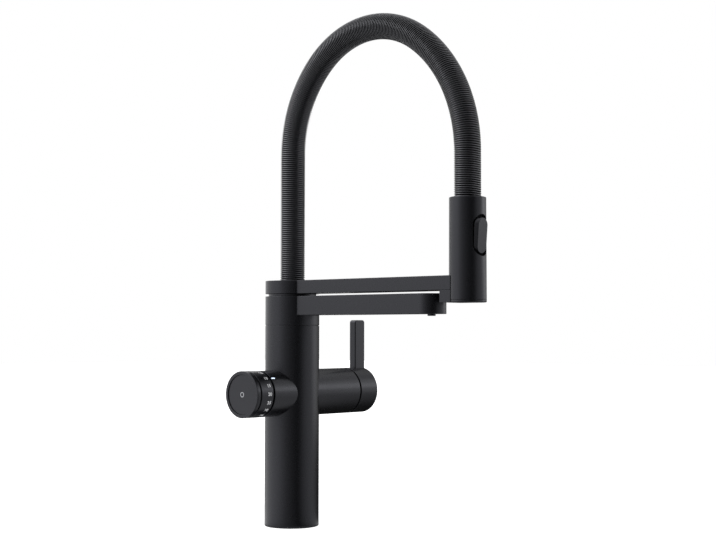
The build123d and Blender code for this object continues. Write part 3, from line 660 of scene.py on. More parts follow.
class Shop:
    """Makes meshes: turned pieces, plates, cuts and rounded edges."""

    def piece(self, name: str, shape: bmesh.types.BMesh, place: Matrix) -> bpy.types.Object:
        """Puts a built shape into the scene, with its faces outwards.

        Args:
            name: Name of the object.
            shape: The shape, which is used up.
            place: Where it goes.

        Returns:
            The object, which stands at the origin.
        """
        bmesh.ops.remove_doubles(shape, verts=shape.verts, dist=WELD)
        bmesh.ops.transform(shape, matrix=place, verts=shape.verts)
        bmesh.ops.recalc_face_normals(shape, faces=shape.faces)
        mesh = bpy.data.meshes.new(name)
        shape.to_mesh(mesh)
        shape.free()
        return add_object(name, mesh)

    def skin(
        self, name: str, rows: Sequence[Sequence[Vector]], place: Matrix, ring: bool = False
    ) -> bpy.types.Object:
        """Bridges rows of points into a closed shape.

        Args:
            name: Name of the object.
            rows: The rows in order. One with a single point closes the shape there.
            place: Where it goes.
            ring: Whether the last row joins the first, where both ends are capped otherwise.

        Returns:
            The object.
        """
        shape = bmesh.new()
        loops = [[shape.verts.new(point) for point in row] for row in rows]
        pairs = list(zip(loops, loops[1:]))
        if ring:
            pairs.append((loops[-1], loops[0]))
        for end in () if ring else (loops[0], loops[-1]):
            if len(end) > 2:
                shape.faces.new(end)
        for low, high in pairs:
            for k in range(max(len(low), len(high))):
                face = [low[k % len(low)], low[(k + 1) % len(low)]]
                face += [high[(k + 1) % len(high)], high[k % len(high)]]
                shape.faces.new(list(dict.fromkeys(face)))
        return self.piece(name, shape, place)

    def turned(
        self,
        name: str,
        corners: Sequence[Corner],
        place: Matrix,
        closed: bool = True,
        fineness: Fineness = Fineness.LARGE,
    ) -> bpy.types.Object:
        """A piece made on a lathe.

        Args:
            name: Name of the object.
            corners: Its half section. Where it isn't closed, it starts and ends on the axis.
            place: Where its axis goes.
            closed: Whether the section joins its own start, as on a ring.
            fineness: Steps round the axis.

        Returns:
            The object.
        """
        rows = []
        for radius, height in rounded(corners, closed):
            spots = arc((0.0, 0.0), radius, 0.0, TURN, fineness.value)[:-1]
            rows.append(level(spots if radius > WELD else spots[:1], height))
        return self.skin(name, rows, place, closed)

    def plate(
        self, name: str, plan: Sequence[Point], low: float, high: float, place: Matrix
    ) -> bpy.types.Object:
        """A flat plan given a thickness.

        Args:
            name: Name of the object.
            plan: Its outline.
            low: Place of the lower face.
            high: Place of the upper face.
            place: Where its plane goes.

        Returns:
            The object.
        """
        return self.skin(name, [level(plan, low), level(plan, high)], place)

    def rod(
        self, radius: float, low: float, high: float, place: Matrix, fineness: Fineness = Fineness.LARGE
    ) -> bpy.types.Object:
        """A plain round tool for cutting and joining."""
        corners = [Corner(0, low), Corner(radius, low), Corner(radius, high), Corner(0, high)]
        return self.turned("tool", corners, place, closed=False, fineness=fineness)

    def work(
        self, base: bpy.types.Object, operation: Operation, tools: Iterable[bpy.types.Object]
    ) -> bpy.types.Object:
        """Cuts or joins tools into a base, and removes the tools.

        Args:
            base: The object to change.
            operation: Cut or join.
            tools: Closed shapes.

        Returns:
            The base.
        """
        used = list(tools)
        for tool in used:
            step = base.modifiers.new("work", "BOOLEAN")
            step.object = tool
            step.operation = operation.value
            step.solver = "EXACT"
        self.settle(base)
        for tool in used:
            bpy.data.objects.remove(tool)
        return base

    def settle(self, piece: bpy.types.Object) -> None:
        """Applies the modifiers of a piece to its mesh.

        Args:
            piece: The object, whose old mesh is removed.
        """
        old = piece.data
        result = evaluated_mesh(piece)
        piece.modifiers.clear()
        piece.data = result
        bpy.data.meshes.remove(old)

    def soften(
        self, piece: bpy.types.Object, width: float, segments: int = 3, angle: float = 28.0
    ) -> None:
        """Rounds the sharp edges of a piece.

        Args:
            piece: The object.
            width: Width of the rounding in metres.
            segments: Steps across it.
            angle: Least angle in degrees of an edge that is rounded.
        """
        bevel = piece.modifiers.new("soften", "BEVEL")
        bevel.width = width
        bevel.segments = segments
        bevel.limit_method = "ANGLE"
        bevel.angle_limit = math.radians(angle)
        bevel.use_clamp_overlap = False
        self.settle(piece)

    def smooth(self, piece: bpy.types.Object, angle: float = 35.0) -> None:
        """Shades a piece smoothly, apart from its sharp edges.

        Args:
            piece: The object.
            angle: Least angle in degrees of an edge that stays sharp.
        """
        mesh = piece.data
        mesh.polygons.foreach_set("use_smooth", [True] * len(mesh.polygons))
        mesh.set_sharp_from_angle(angle=math.radians(angle))
        weighted = piece.modifiers.new("weight", "WEIGHTED_NORMAL")
        weighted.keep_sharp = True
        weighted.weight = 70
        self.settle(piece)


SHOP = Shop()


@dataclass(frozen=True)
class Extent:
    """The box of a CAD node, read from the frame.

    Attributes:
        low: Lowest corner.
        high: Highest corner.
    """

    low: Vector
    high: Vector

    @classmethod
    def of(cls, node: str) -> "Extent":
        """Reads a node's box."""
        return cls(*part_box(node))

    @property
    def centre(self) -> Vector:
        """Middle of the box."""
        return (self.low + self.high) / 2

    @property
    def radius(self) -> float:
        """Half of the box along Z, for a piece that lies along Y."""
        return (self.high.z - self.low.z) / 2

    @property
    def girth(self) -> float:
        """Half of the box along Y, for a piece that stands upright."""
        return (self.high.y - self.low.y) / 2


@dataclass
class SubAssembly:
    """A group of pieces on the tap.

    Attributes:
        pieces: The pieces, once they are made.
    """

    pieces: list[bpy.types.Object] = field(default_factory=list, init=False)

    def build(self) -> None:
        """Makes and mounts every piece."""
        raise NotImplementedError

    def dress(
        self,
        piece: bpy.types.Object,
        surface: Surface,
        slot: Slot,
        *nodes: str,
        body: str = "",
        smooth: bool = True,
    ) -> None:
        """Gives a piece its surface, the CAD nodes that it stands for and its body.

        Args:
            piece: The object.
            surface: Its surface.
            slot: The record's material slot; not used.
            nodes: CAD nodes that it replaces.
            body: Body that it moves with, or nothing to leave it unattached.
            smooth: Whether to shade it by its edges.
        """
        if smooth:
            SHOP.smooth(piece)
        piece.data.materials.clear()
        piece.data.materials.append(surface.material())
        if nodes:
            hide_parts(*nodes)
        if body:
            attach(piece, body)
        self.pieces.append(piece)


# The outlet stands this far beyond the centre of the spout's round end.
JET_OFFSET = 2.4 * MM


def bar_half_width() -> float:
    """Half of the width that the spout and the docking arm share."""
    return Extent.of("spout_body").high.x - Extent.of("spout_jet").centre.x + JET_OFFSET


@dataclass
class IndicatorLight(SubAssembly):
    """The small lit bar on the dial's stub.

    Attributes:
        angle: Angle of the light round the stub, up from +X, in degrees.
        length: Length along the stub.
        width: Width round the stub.
        inset: Distance from the stub's end.
        depth: Depth of its slot.
        proud: How far its crown stands above the stub.
        gap: Gap round it in its slot.
        crown: Share of the plan and drop of each row of its crown.
    """

    angle: float = 43.7
    length: float = 5.0 * MM
    width: float = 1.5 * MM
    inset: float = 0.4 * MM
    depth: float = 1.6 * MM
    proud: float = 0.05 * MM
    gap: float = 0.05 * MM
    crown: tuple[Point, ...] = ((1.0, 0.12 * MM), (0.9, 0.03 * MM), (0.6, 0.0), (0.25, 0.0))

    def _place(self) -> Matrix:
        """Finds where the light's plan lies.

        Returns:
            The matrix that takes its length along the stub and +Z outwards.
        """
        stub = Extent.of("dial_stub")
        outwards = Matrix.Rotation(math.radians(90 - self.angle), 4, "Y")
        centre = Matrix.Translation((0.0, stub.low.y + self.inset + self.length / 2, stub.centre.z))
        return centre @ outwards @ Matrix.Rotation(TURN / 4, 4, "Z")

    def tool(self) -> bpy.types.Object:
        """Makes the tool that cuts the light's slot.

        Returns:
            The tool.
        """
        radius = Extent.of("dial_stub").radius
        plan = pill_plan(self.length, self.width)
        return SHOP.plate("tool", plan, radius - self.depth, radius * CLEAR, self._place())

    def build(self) -> None:
        """Makes and mounts the lit window."""
        radius = Extent.of("dial_stub").radius
        plan = pill_plan(self.length - 2 * self.gap, self.width - 2 * self.gap)
        rows = []
        for share, drop in ((1.0, self.depth - self.gap), *self.crown):
            top = self.proud - drop
            spots = [(x * share, y * share) for x, y in plan]
            rows.append([Vector((x, y, top + math.sqrt(radius**2 - y**2))) for x, y in spots])
        made = SHOP.skin("indicator_window", rows, self._place())
        self.dress(made, LIGHT_BAR, Slot.WINDOW, "light_window", body="column")


@dataclass
class Column(SubAssembly):
    """The upright tube with its two side tubes, and the ring above the spout.

    Attributes:
        foot_chamfer: Chamfer of the foot.
        edge: Rounding of the visible edges.
        wall_reach: How far the side tubes enter the column's wall.
        neck_wall: Wall of the ring above the spout.
        block_play: Gap round the water block.
        cartridge_play: Gap round the mixer's cartridge.
        valve_play: Gap round the filtered-water valve.
        flange: Width of the dial bearing's flange.
    """

    foot_chamfer: float = 0.6 * MM
    edge: float = 0.25 * MM
    wall_reach: float = 0.6 * MM
    neck_wall: float = 6.7 * MM
    block_play: float = 0.03 * MM
    cartridge_play: float = 1.1 * MM
    valve_play: float = 1.0 * MM
    flange: float = 2.0 * MM

    def build(self) -> None:
        """Makes and mounts every piece."""
        self._tube()
        housing = self._side_tube("mixer_housing_tube", "mixer_housing", self._mixer_bore(), True)
        self.dress(housing, SATIN_METAL, Slot.METAL, "mixer_housing", body="column")
        bore = Extent.of("dial_bearing").radius - self.flange
        stub = self._side_tube("dial_stub_tube", "dial_stub", bore, False)
        window = IndicatorLight()
        SHOP.work(stub, Operation.CUT, [window.tool()])
        self.dress(stub, SATIN_METAL, Slot.METAL, "dial_stub", body="column")
        window.build()
        self.pieces += window.pieces
        self._neck()

    def _mixer_bore(self) -> float:
        """Radius of the hole that the mixer's cartridge stands in."""
        return Extent.of("mixer_cartridge").radius + self.cartridge_play

    def _tube(self) -> None:
        """The main tube, with a chamfered foot and holes for the side tubes."""
        tube = Extent.of("column_body")
        axis = Extent.of("mixer_housing").centre.z
        inner = Extent.of("water_block").girth + self.block_play
        valve_bore = Extent.of("filter_valve").radius + self.valve_play
        corners = [
            Corner(tube.girth - self.foot_chamfer, 0.0, self.edge / 2),
            Corner(tube.girth, self.foot_chamfer, self.edge / 2),
            Corner(tube.girth, tube.high.z, self.edge),
            Corner(inner, tube.high.z),
            Corner(inner, 0.0),
        ]
        made = SHOP.turned("column_tube", corners, upright())
        holes = ((self._mixer_bore(), True), (valve_bore, False))
        tools = [SHOP.rod(bore, 0.0, tube.girth * CLEAR, sideways(axis, side)) for bore, side in holes]
        SHOP.work(made, Operation.CUT, tools)
        self.dress(made, SATIN_METAL, Slot.METAL, "column_body", body="column")

    def _side_tube(self, name: str, node: str, bore: float, lever_side: bool) -> bpy.types.Object:
        """A tube out of the column's side, cut to the column's round.

        Args:
            name: Name of the piece.
            node: CAD node that gives its size.
            bore: Inner radius.
            lever_side: True for the lever's side.

        Returns:
            The piece.
        """
        tube = Extent.of("column_body")
        shape = Extent.of(node)
        start = tube.girth / 3
        end = shape.high.y if lever_side else -shape.low.y
        corners = [
            Corner(bore, start),
            Corner(shape.radius, start),
            Corner(shape.radius, end, self.edge),
            Corner(bore, end, self.edge),
        ]
        made = SHOP.turned(name, corners, sideways(shape.centre.z, lever_side))
        core = SHOP.rod(tube.girth - self.wall_reach, 0.0, tube.high.z, upright())
        return SHOP.work(made, Operation.CUT, [core])

    def _neck(self) -> None:
        """The narrow ring between the spout and the docking arm."""
        neck = Extent.of("neck_ring")
        inner = neck.girth - self.neck_wall
        corners = [
            Corner(neck.girth, neck.low.z, self.edge),
            Corner(neck.girth, neck.high.z, self.edge),
            Corner(inner, neck.high.z),
            Corner(inner, neck.low.z),
        ]
        made = SHOP.turned("neck_collar", corners, upright())
        self.dress(made, SATIN_METAL, Slot.METAL, "neck_ring", body="column")


@dataclass
class FilterSpout(SubAssembly):
    """The lower spout for filtered water.

    Attributes:
        edge: Rounding of its edges.
        lip: Rounding of the outlet's lip.
        drop: How far the outlet stands out under the bar.
        play: Gap round the outlet.
    """

    edge: float = 0.4 * MM
    lip: float = 0.5 * MM
    drop: float = 1.8 * MM
    play: float = 0.1 * MM

    def build(self) -> None:
        """Makes and mounts the bar and the outlet."""
        body = Extent.of("spout_body")
        jet = Extent.of("spout_jet")
        bore = Extent.of("spout_bush").girth
        half_width = bar_half_width()
        plan = bar_plan(body.high.x - half_width, half_width)
        made = SHOP.plate("filter_spout", plan, jet.low.z + self.drop, body.high.z, upright())
        SHOP.work(made, Operation.JOIN, [SHOP.rod(body.girth, body.low.z, body.high.z, upright())])
        bores = [
            SHOP.rod(bore, body.low.z - MM, body.high.z + MM, upright()),
            SHOP.rod(jet.girth + self.play, body.low.z, jet.high.z, upright(jet.centre.x)),
        ]
        SHOP.work(made, Operation.CUT, bores)
        SHOP.soften(made, self.edge)
        self.dress(made, SATIN_METAL, Slot.METAL, "spout_body", body="spout")
        inner = Extent.of("spout_aerator").girth
        corners = [
            Corner(jet.girth, jet.low.z, self.lip),
            Corner(jet.girth, jet.high.z),
            Corner(inner, jet.high.z),
            Corner(inner, jet.low.z, self.lip / 2),
        ]
        made = SHOP.turned("filter_outlet", corners, upright(jet.centre.x), fineness=Fineness.MEDIUM)
        self.dress(made, SATIN_METAL, Slot.METAL, "spout_jet", body="spout")


@dataclass
class DockingArm(SubAssembly):
    """The arm over the spout, and the cradle that holds the spray head.

    Attributes:
        edge: Rounding of its edges.
        seam: Gap between the arm and the cradle below it.
        plate: Thickness of the arm's disc over the bush.
        cradle: Distance from the cradle's start to the head's axis.
        head_play: Gap round the head.
        play: Gap round the nipple and the magnet.
        seat: Depth of the magnet's seat.
    """

    edge: float = 0.4 * MM
    seam: float = 0.12 * MM
    plate: float = 3.0 * MM
    cradle: float = 20.2 * MM
    head_play: float = 0.3 * MM
    play: float = 0.05 * MM
    seat: float = 2.6 * MM

    def build(self) -> None:
        """Makes and mounts the arm and its cradle."""
        arm = Extent.of("docking_arm")
        head = Extent.of("head_shell")
        bush = Extent.of("arm_bush")
        sleeve = Extent.of("hose_nipple").girth + self.play
        half_width, hollow = bar_half_width(), head.girth + self.head_play
        reach, bottom = head.centre.x, bush.low.z
        plan = rectangle((0.0, -half_width), (reach, half_width))
        made = SHOP.plate("docking_bar", plan, bottom, arm.high.z, upright())
        SHOP.work(made, Operation.JOIN, [SHOP.rod(arm.girth, bottom, arm.high.z, upright())])
        tools = [
            SHOP.rod(hollow, arm.low.z - MM, arm.high.z + MM, upright(reach)),
            SHOP.rod(bush.girth, bottom - MM, arm.high.z - self.plate, upright()),
            SHOP.rod(sleeve, bottom, arm.high.z + MM, upright(), Fineness.MEDIUM),
        ]
        SHOP.work(made, Operation.CUT, tools)
        SHOP.soften(made, self.edge)
        self.dress(made, SATIN_METAL, Slot.METAL, "docking_arm", body="arm")
        magnet = Extent.of("dock_magnet")
        seat = Matrix.Translation((reach - hollow, 0.0, magnet.centre.z)) @ Matrix.Rotation(TURN / 4, 4, "Y")
        plan = rectangle((reach - self.cradle, -half_width), (reach, half_width))
        made = SHOP.plate("dock_cradle", plan, arm.low.z, bottom - self.seam, upright())
        tools = [
            SHOP.rod(hollow, arm.low.z - MM, arm.high.z, upright(reach)),
            SHOP.rod(magnet.girth + self.play, -self.seat, self.seat, seat, Fineness.SMALL),
        ]
        SHOP.work(made, Operation.CUT, tools)
        SHOP.soften(made, self.edge / 2)
        self.dress(made, SATIN_PLASTIC, Slot.METAL, body="arm")


@dataclass
class ArchRoute:
    """The line of the hose: riser, rear bend, crown, front bend and drop.

    Attributes:
        start: Height of its foot.
        end: Height of its end inside the head.
        reach: Distance of the head's axis.
        riser_top: Height where the bend starts.
        rear_radius: Radius of the rear bend.
        rear_turn: Turn of the rear bend in radians.
        crown_radius: Radius of the crown.
        front_turn: Turn of the front bend in radians.
        least_steps: Fewest straight steps in a bend.
    """

    start: float
    end: float
    reach: float
    riser_top: float = 369.0 * MM
    rear_radius: float = 121.0 * MM
    rear_turn: float = math.radians(46.8)
    crown_radius: float = 100.0 * MM
    front_turn: float = math.radians(55.7)
    least_steps: int = 8

    def front_radius(self) -> float:
        """Finds the front bend that brings the line down at the head's axis.

        Returns:
            The bend's radius.
        """
        left = self.reach - self.rear_radius * (1 - math.cos(self.rear_turn))
        left -= self.crown_radius * (math.cos(self.rear_turn) + math.cos(self.front_turn))
        return left / (1 - math.cos(self.front_turn))

    def points(self, step: float = 2.0 * MM) -> list[Vector]:
        """Points along the line.

        Args:
            step: Rough distance between them.

        Returns:
            The points, with the bends' ends among them.
        """
        front_radius = self.front_radius()
        crown_turn = TURN / 2 - self.rear_turn - self.front_turn
        shift = self.rear_radius - self.crown_radius
        crown_x = self.rear_radius - shift * math.cos(self.rear_turn)
        crown_z = self.riser_top + shift * math.sin(self.rear_turn)
        front_base = crown_z - (front_radius - self.crown_radius) * math.sin(self.front_turn)
        bends = (
            ((self.rear_radius, self.riser_top), self.rear_radius, TURN / 2, self.rear_turn),
            ((crown_x, crown_z), self.crown_radius, TURN / 2 - self.rear_turn, crown_turn),
            ((self.reach - front_radius, front_base), front_radius, self.front_turn, self.front_turn),
        )
        line = straight((0.0, self.start), (0.0, self.riser_top), step)
        for centre, radius, first, turn in bends:
            steps = max(self.least_steps, round(radius * turn / step))
            line += arc(centre, radius, first, first - turn, steps)[1:]
        line += straight((self.reach, front_base), (self.reach, self.end), step)[1:]
        return [Vector((x, 0.0, z)) for x, z in line]


@dataclass
class SpringHose(SubAssembly):
    """The coiled sleeve over the hose, on its arch.

    Attributes:
        outer: Outer radius of the coil.
        wire: Radius of the wire.
        pitch: Distance from one rib to the next.
        strands: Number of wires wound side by side.
        steps: Straight steps in one turn.
        sides: Sides of the wire.
        lining: Radius of the lining inside the coil, whose near-black finish is partly painted shade in the
            gaps between the wires.
        lining_sides: Sides of the lining.
        start_angle: Where the first turn starts, in turns.
        entry: How far the hose enters the head.
        margin: Distance from the coil to where it moves as one with the head; not used.
    """

    outer: float = 12.4 * MM
    wire: float = 0.56 * MM
    pitch: float = 2.0 * MM
    strands: int = 2
    steps: int = 32
    sides: int = 8
    lining: float = 11.2 * MM
    lining_sides: int = 64
    start_angle: float = 0.125
    entry: float = 3.0 * MM
    margin: float = 0.5 * MM

    def build(self) -> None:
        """Makes the coil and its lining along the arch from the arm to the head."""
        sleeve = Extent.of("spring_sleeve")
        head = Extent.of("head_shell")
        end = head.high.z - self.entry
        line = ArchRoute(start=sleeve.low.z, end=end, reach=head.centre.x).points()
        length = sum((b - a).length for a, b in zip(line, line[1:]))
        turns = round((length - 2 * self.wire) / (self.pitch * self.strands))
        LOG.info("hose is %.1f mm long, %d turns", length / MM, turns)
        sizes = {"Turns": turns, "Steps": self.steps, "Start": self.start_angle, "Sides": self.sides}
        sizes |= {"Radius": self.outer - self.wire, "Wire": self.wire}
        coil = self._along("coil_sleeve", line, sizes, self._coil, COIL_BLACK)
        self.dress(coil, COIL_BLACK, Slot.SLEEVE, "spring_sleeve", smooth=False)
        sizes = {"Radius": self.lining, "Sides": self.lining_sides}
        # The lining's near-black finish is partly painted shade for the gaps between the wires.
        lining = self._along("coil_lining", line, sizes, self._lining, LINING_WITH_PAINTED_SHADE)
        self.dress(lining, LINING_WITH_PAINTED_SHADE, Slot.HOSE, "inner_hose", smooth=False)
        for piece in (coil, lining):
            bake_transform(piece)

    def _along(
        self,
        name: str,
        line: Sequence[Vector],
        sizes: dict[str, float],
        draw: Callable[[Graph, bpy.types.Node], bpy.types.Node],
        surface: Surface,
    ) -> bpy.types.Object:
        """Draws a piece along the hose's line with a geometry tree, and keeps the mesh.

        Args:
            name: Name of the piece.
            line: Points of the line.
            sizes: Name and value of each of the tree's inputs.
            draw: Adds the nodes that draw the piece, and returns the last of them.
            surface: The piece's surface.

        Returns:
            The piece, as a plain mesh.
        """
        tree = bpy.data.node_groups.new(name, "GeometryNodeTree")
        tree.interface.new_socket("Geometry", in_out="INPUT", socket_type="NodeSocketGeometry")
        tree.interface.new_socket("Geometry", in_out="OUTPUT", socket_type="NodeSocketGeometry")
        sockets = {}
        for size, value in sizes.items():
            kind = "NodeSocketInt" if isinstance(value, int) else "NodeSocketFloat"
            sockets[size] = tree.interface.new_socket(size, in_out="INPUT", socket_type=kind)
        graph = Graph(tree)
        drawn = draw(graph, graph.node("NodeGroupInput"))
        real = graph.node("GeometryNodeRealizeInstances", {"Geometry": drawn.outputs[0]})
        inputs = {"Geometry": real.outputs[0], "Material": surface.material()}
        painted = graph.node("GeometryNodeSetMaterial", inputs)
        graph.node("NodeGroupOutput", {0: painted.outputs[0]})
        curve = bpy.data.curves.new(name + "_line", "CURVE")
        curve.dimensions = "3D"
        spline = curve.splines.new("POLY")
        spline.points.add(len(line) - 1)
        for spot, place in zip(spline.points, line):
            spot.co = (*place, 1.0)
        guide = add_object(name + "_guide", curve)
        wound = guide.modifiers.new("wind", "NODES")
        wound.node_group = tree
        for size, value in sizes.items():
            wound[sockets[size].identifier] = value
        mesh = evaluated_mesh(guide)
        bpy.data.objects.remove(guide)
        mesh.name = name
        return add_object(name, mesh)

    def _coil(self, graph: Graph, start: bpy.types.Node) -> bpy.types.Node:
        """Winds the wires round the line.

        Args:
            graph: The tree.
            start: Its input node.

        Returns:
            The node that joins the wires.
        """
        turns = graph.signal(start, "Turns")
        count = turns.math("MULTIPLY_ADD", start.outputs["Steps"], 1.0)
        inputs = {"Curve": start.outputs["Geometry"], "Count": count}
        line = graph.node("GeometryNodeResampleCurve", inputs, mode="COUNT")
        share = graph.signal(graph.node("GeometryNodeSplineParameter"), "Factor")
        turned = share * turns + start.outputs["Start"]
        joined = graph.node("GeometryNodeJoinGeometry")
        for strand in range(self.strands):
            angle = (turned + strand / self.strands) * TURN
            graph.feed(joined.inputs[0], self._strand(graph, start, line, angle))
        return joined

    def _strand(
        self, graph: Graph, start: bpy.types.Node, line: bpy.types.Node, angle: Signal
    ) -> bpy.types.NodeSocket:
        """One wire wound round the line.

        Args:
            graph: The tree.
            start: Its input node.
            line: The node that gives the line.
            angle: Angle round the line, in radians.

        Returns:
            The wire's geometry.
        """
        across = (0.0, 1.0, 0.0)
        tangent = graph.node("GeometryNodeInputTangent").outputs[0]
        outwards = graph.vector("CROSS_PRODUCT", {0: tangent, 1: across})
        radius = start.outputs["Radius"]
        parts = {}
        for index, (axis, function) in enumerate(((outwards, "COSINE"), (across, "SINE"))):
            parts[index] = graph.vector("SCALE", {0: axis, "Scale": angle.math(function) * radius})
        inputs = {"Geometry": line.outputs[0], "Offset": graph.vector("ADD", parts)}
        helix = graph.node("GeometryNodeSetPosition", inputs)
        wire = self._sweep(graph, helix.outputs[0], start.outputs["Sides"], start.outputs["Wire"])
        return wire.outputs[0]

    def _lining(self, graph: Graph, start: bpy.types.Node) -> bpy.types.Node:
        """Draws the dark tube inside the coil, and returns the last node."""
        return self._sweep(graph, *(start.outputs[name] for name in ("Geometry", "Sides", "Radius")))

    @staticmethod
    def _sweep(
        graph: Graph, line: bpy.types.NodeSocket, sides: bpy.types.NodeSocket, radius: bpy.types.NodeSocket
    ) -> bpy.types.Node:
        """Sweeps a round section along a line.

        Args:
            graph: The tree.
            line: The line.
            sides: Number of the section's sides.
            radius: Radius of the section.

        Returns:
            The node that gives the swept shape.
        """
        inputs = {"Resolution": sides, "Radius": radius}
        section = graph.node("GeometryNodeCurvePrimitiveCircle", inputs, mode="RADIUS")
        inputs = {"Curve": line, "Profile Curve": section.outputs[0], "Fill Caps": True}
        return graph.node("GeometryNodeCurveToMesh", inputs)


@dataclass
class SprayHead(SubAssembly):
    """The casing of the spray head and its rocker.

    Attributes:
        top_radius: Radius at the top.
        wall: Wall of the casing.
        collar: Thickness of its top.
        lip: Rounding of its rims.
        edge: Rounding of its other edges.
        play: Gap round the sleeve.
        seam_height: Height of the fine seam above the lower rim.
        seam: Width and depth of that seam.
        well_length: Length of the rocker's opening.
        well_width: Width of that opening.
        well_floor: Distance of its floor from the head's axis.
        rocker_length: Length of the rocker.
        rocker_width: Width of the rocker.
        rocker_face: Distance of the rocker's face from the head's axis.
        rocker_rim: Distance of the foot of its flanks.
        rocker_back: Distance of its back.
        rocker_bevel: How far its flanks lean in.
        rocker_edge: Rounding of its edges.
        rocker_tilt: How far its upper end stands out at rest, in radians.
        end_steps: Straight steps in each round end of the rocker and its opening.
    """

    top_radius: float = 16.7 * MM
    wall: float = 1.8 * MM
    collar: float = 3.5 * MM
    lip: float = 0.8 * MM
    edge: float = 0.3 * MM
    play: float = 0.3 * MM
    seam_height: float = 2.0 * MM
    seam: float = 0.2 * MM
    well_length: float = 37.3 * MM
    well_width: float = 20.2 * MM
    well_floor: float = 11.0 * MM
    rocker_length: float = 34.4 * MM
    rocker_width: float = 16.2 * MM
    rocker_face: float = 16.8 * MM
    rocker_rim: float = 13.6 * MM
    rocker_back: float = 12.6 * MM
    rocker_bevel: float = 1.5 * MM
    rocker_edge: float = 0.35 * MM
    rocker_tilt: float = math.radians(4.2)
    end_steps: int = 32

    def build(self) -> None:
        """Makes and mounts the casing and the rocker."""
        self._casing()
        self._rocker()

    def _front(self) -> Matrix:
        """Finds where a plan on the front of the head lies.

        Returns:
            The matrix that takes its length upright and +Z along +X.
        """
        place = (Extent.of("head_shell").centre.x, 0.0, Extent.of("rocker_pin").centre.z)
        turn = Matrix(((0, 0, 1, 0), (0, -1, 0, 0), (1, 0, 0, 0), (0, 0, 0, 1)))
        return Matrix.Translation(place) @ turn

    def _casing(self) -> None:
        """The tapered casing with the rocker's opening."""
        shell = Extent.of("head_shell")
        low, high, foot, top = shell.low.z, shell.high.z, shell.girth, self.top_radius
        hole = Extent.of("spring_sleeve").girth + self.play
        groove = low + self.seam_height
        side = foot + (top - foot) * self.seam_height / (high - low)
        corners = [
            Corner(foot, low, self.lip),
            Corner(side, groove),
            Corner(side - self.seam, groove + self.seam / 2),
            Corner(side, groove + self.seam),
            Corner(top, high, self.lip),
            Corner(hole, high, self.lip / 2),
            Corner(hole, high - self.collar),
            Corner(top - self.wall, high - self.collar),
            Corner(foot - self.wall, low, self.lip / 3),
        ]
        made = SHOP.turned("spray_casing", corners, upright(shell.centre.x))
        plan = pill_plan(self.well_length, self.well_width, self.end_steps)
        well = SHOP.plate("tool", plan, self.well_floor, 2 * foot, self._front())
        SHOP.work(made, Operation.CUT, [well])
        SHOP.soften(made, self.edge, segments=2, angle=50.0)
        self.dress(made, SATIN_PLASTIC, Slot.PLASTIC, "head_shell", body="head")

    def _rocker(self) -> None:
        """The bevelled rocker, tilted on its pin."""
        pin = Extent.of("rocker_pin").centre
        length, width, inset = self.rocker_length, self.rocker_width, 2 * self.rocker_bevel
        plan = pill_plan(length, width, self.end_steps)
        face = pill_plan(length - inset, width - inset, self.end_steps)
        rows = [level(plan, self.rocker_back), level(plan, self.rocker_rim), level(face, self.rocker_face)]
        made = SHOP.skin("rocker_cap", rows, self._front())
        tilt = Matrix.Rotation(self.rocker_tilt, 4, "Y")
        made.data.transform(Matrix.Translation(pin) @ tilt @ Matrix.Translation(-pin))
        SHOP.soften(made, self.rocker_edge, angle=12.0)
        self.dress(made, SATIN_PLASTIC, Slot.PLASTIC, "rocker_button", body="rocker")


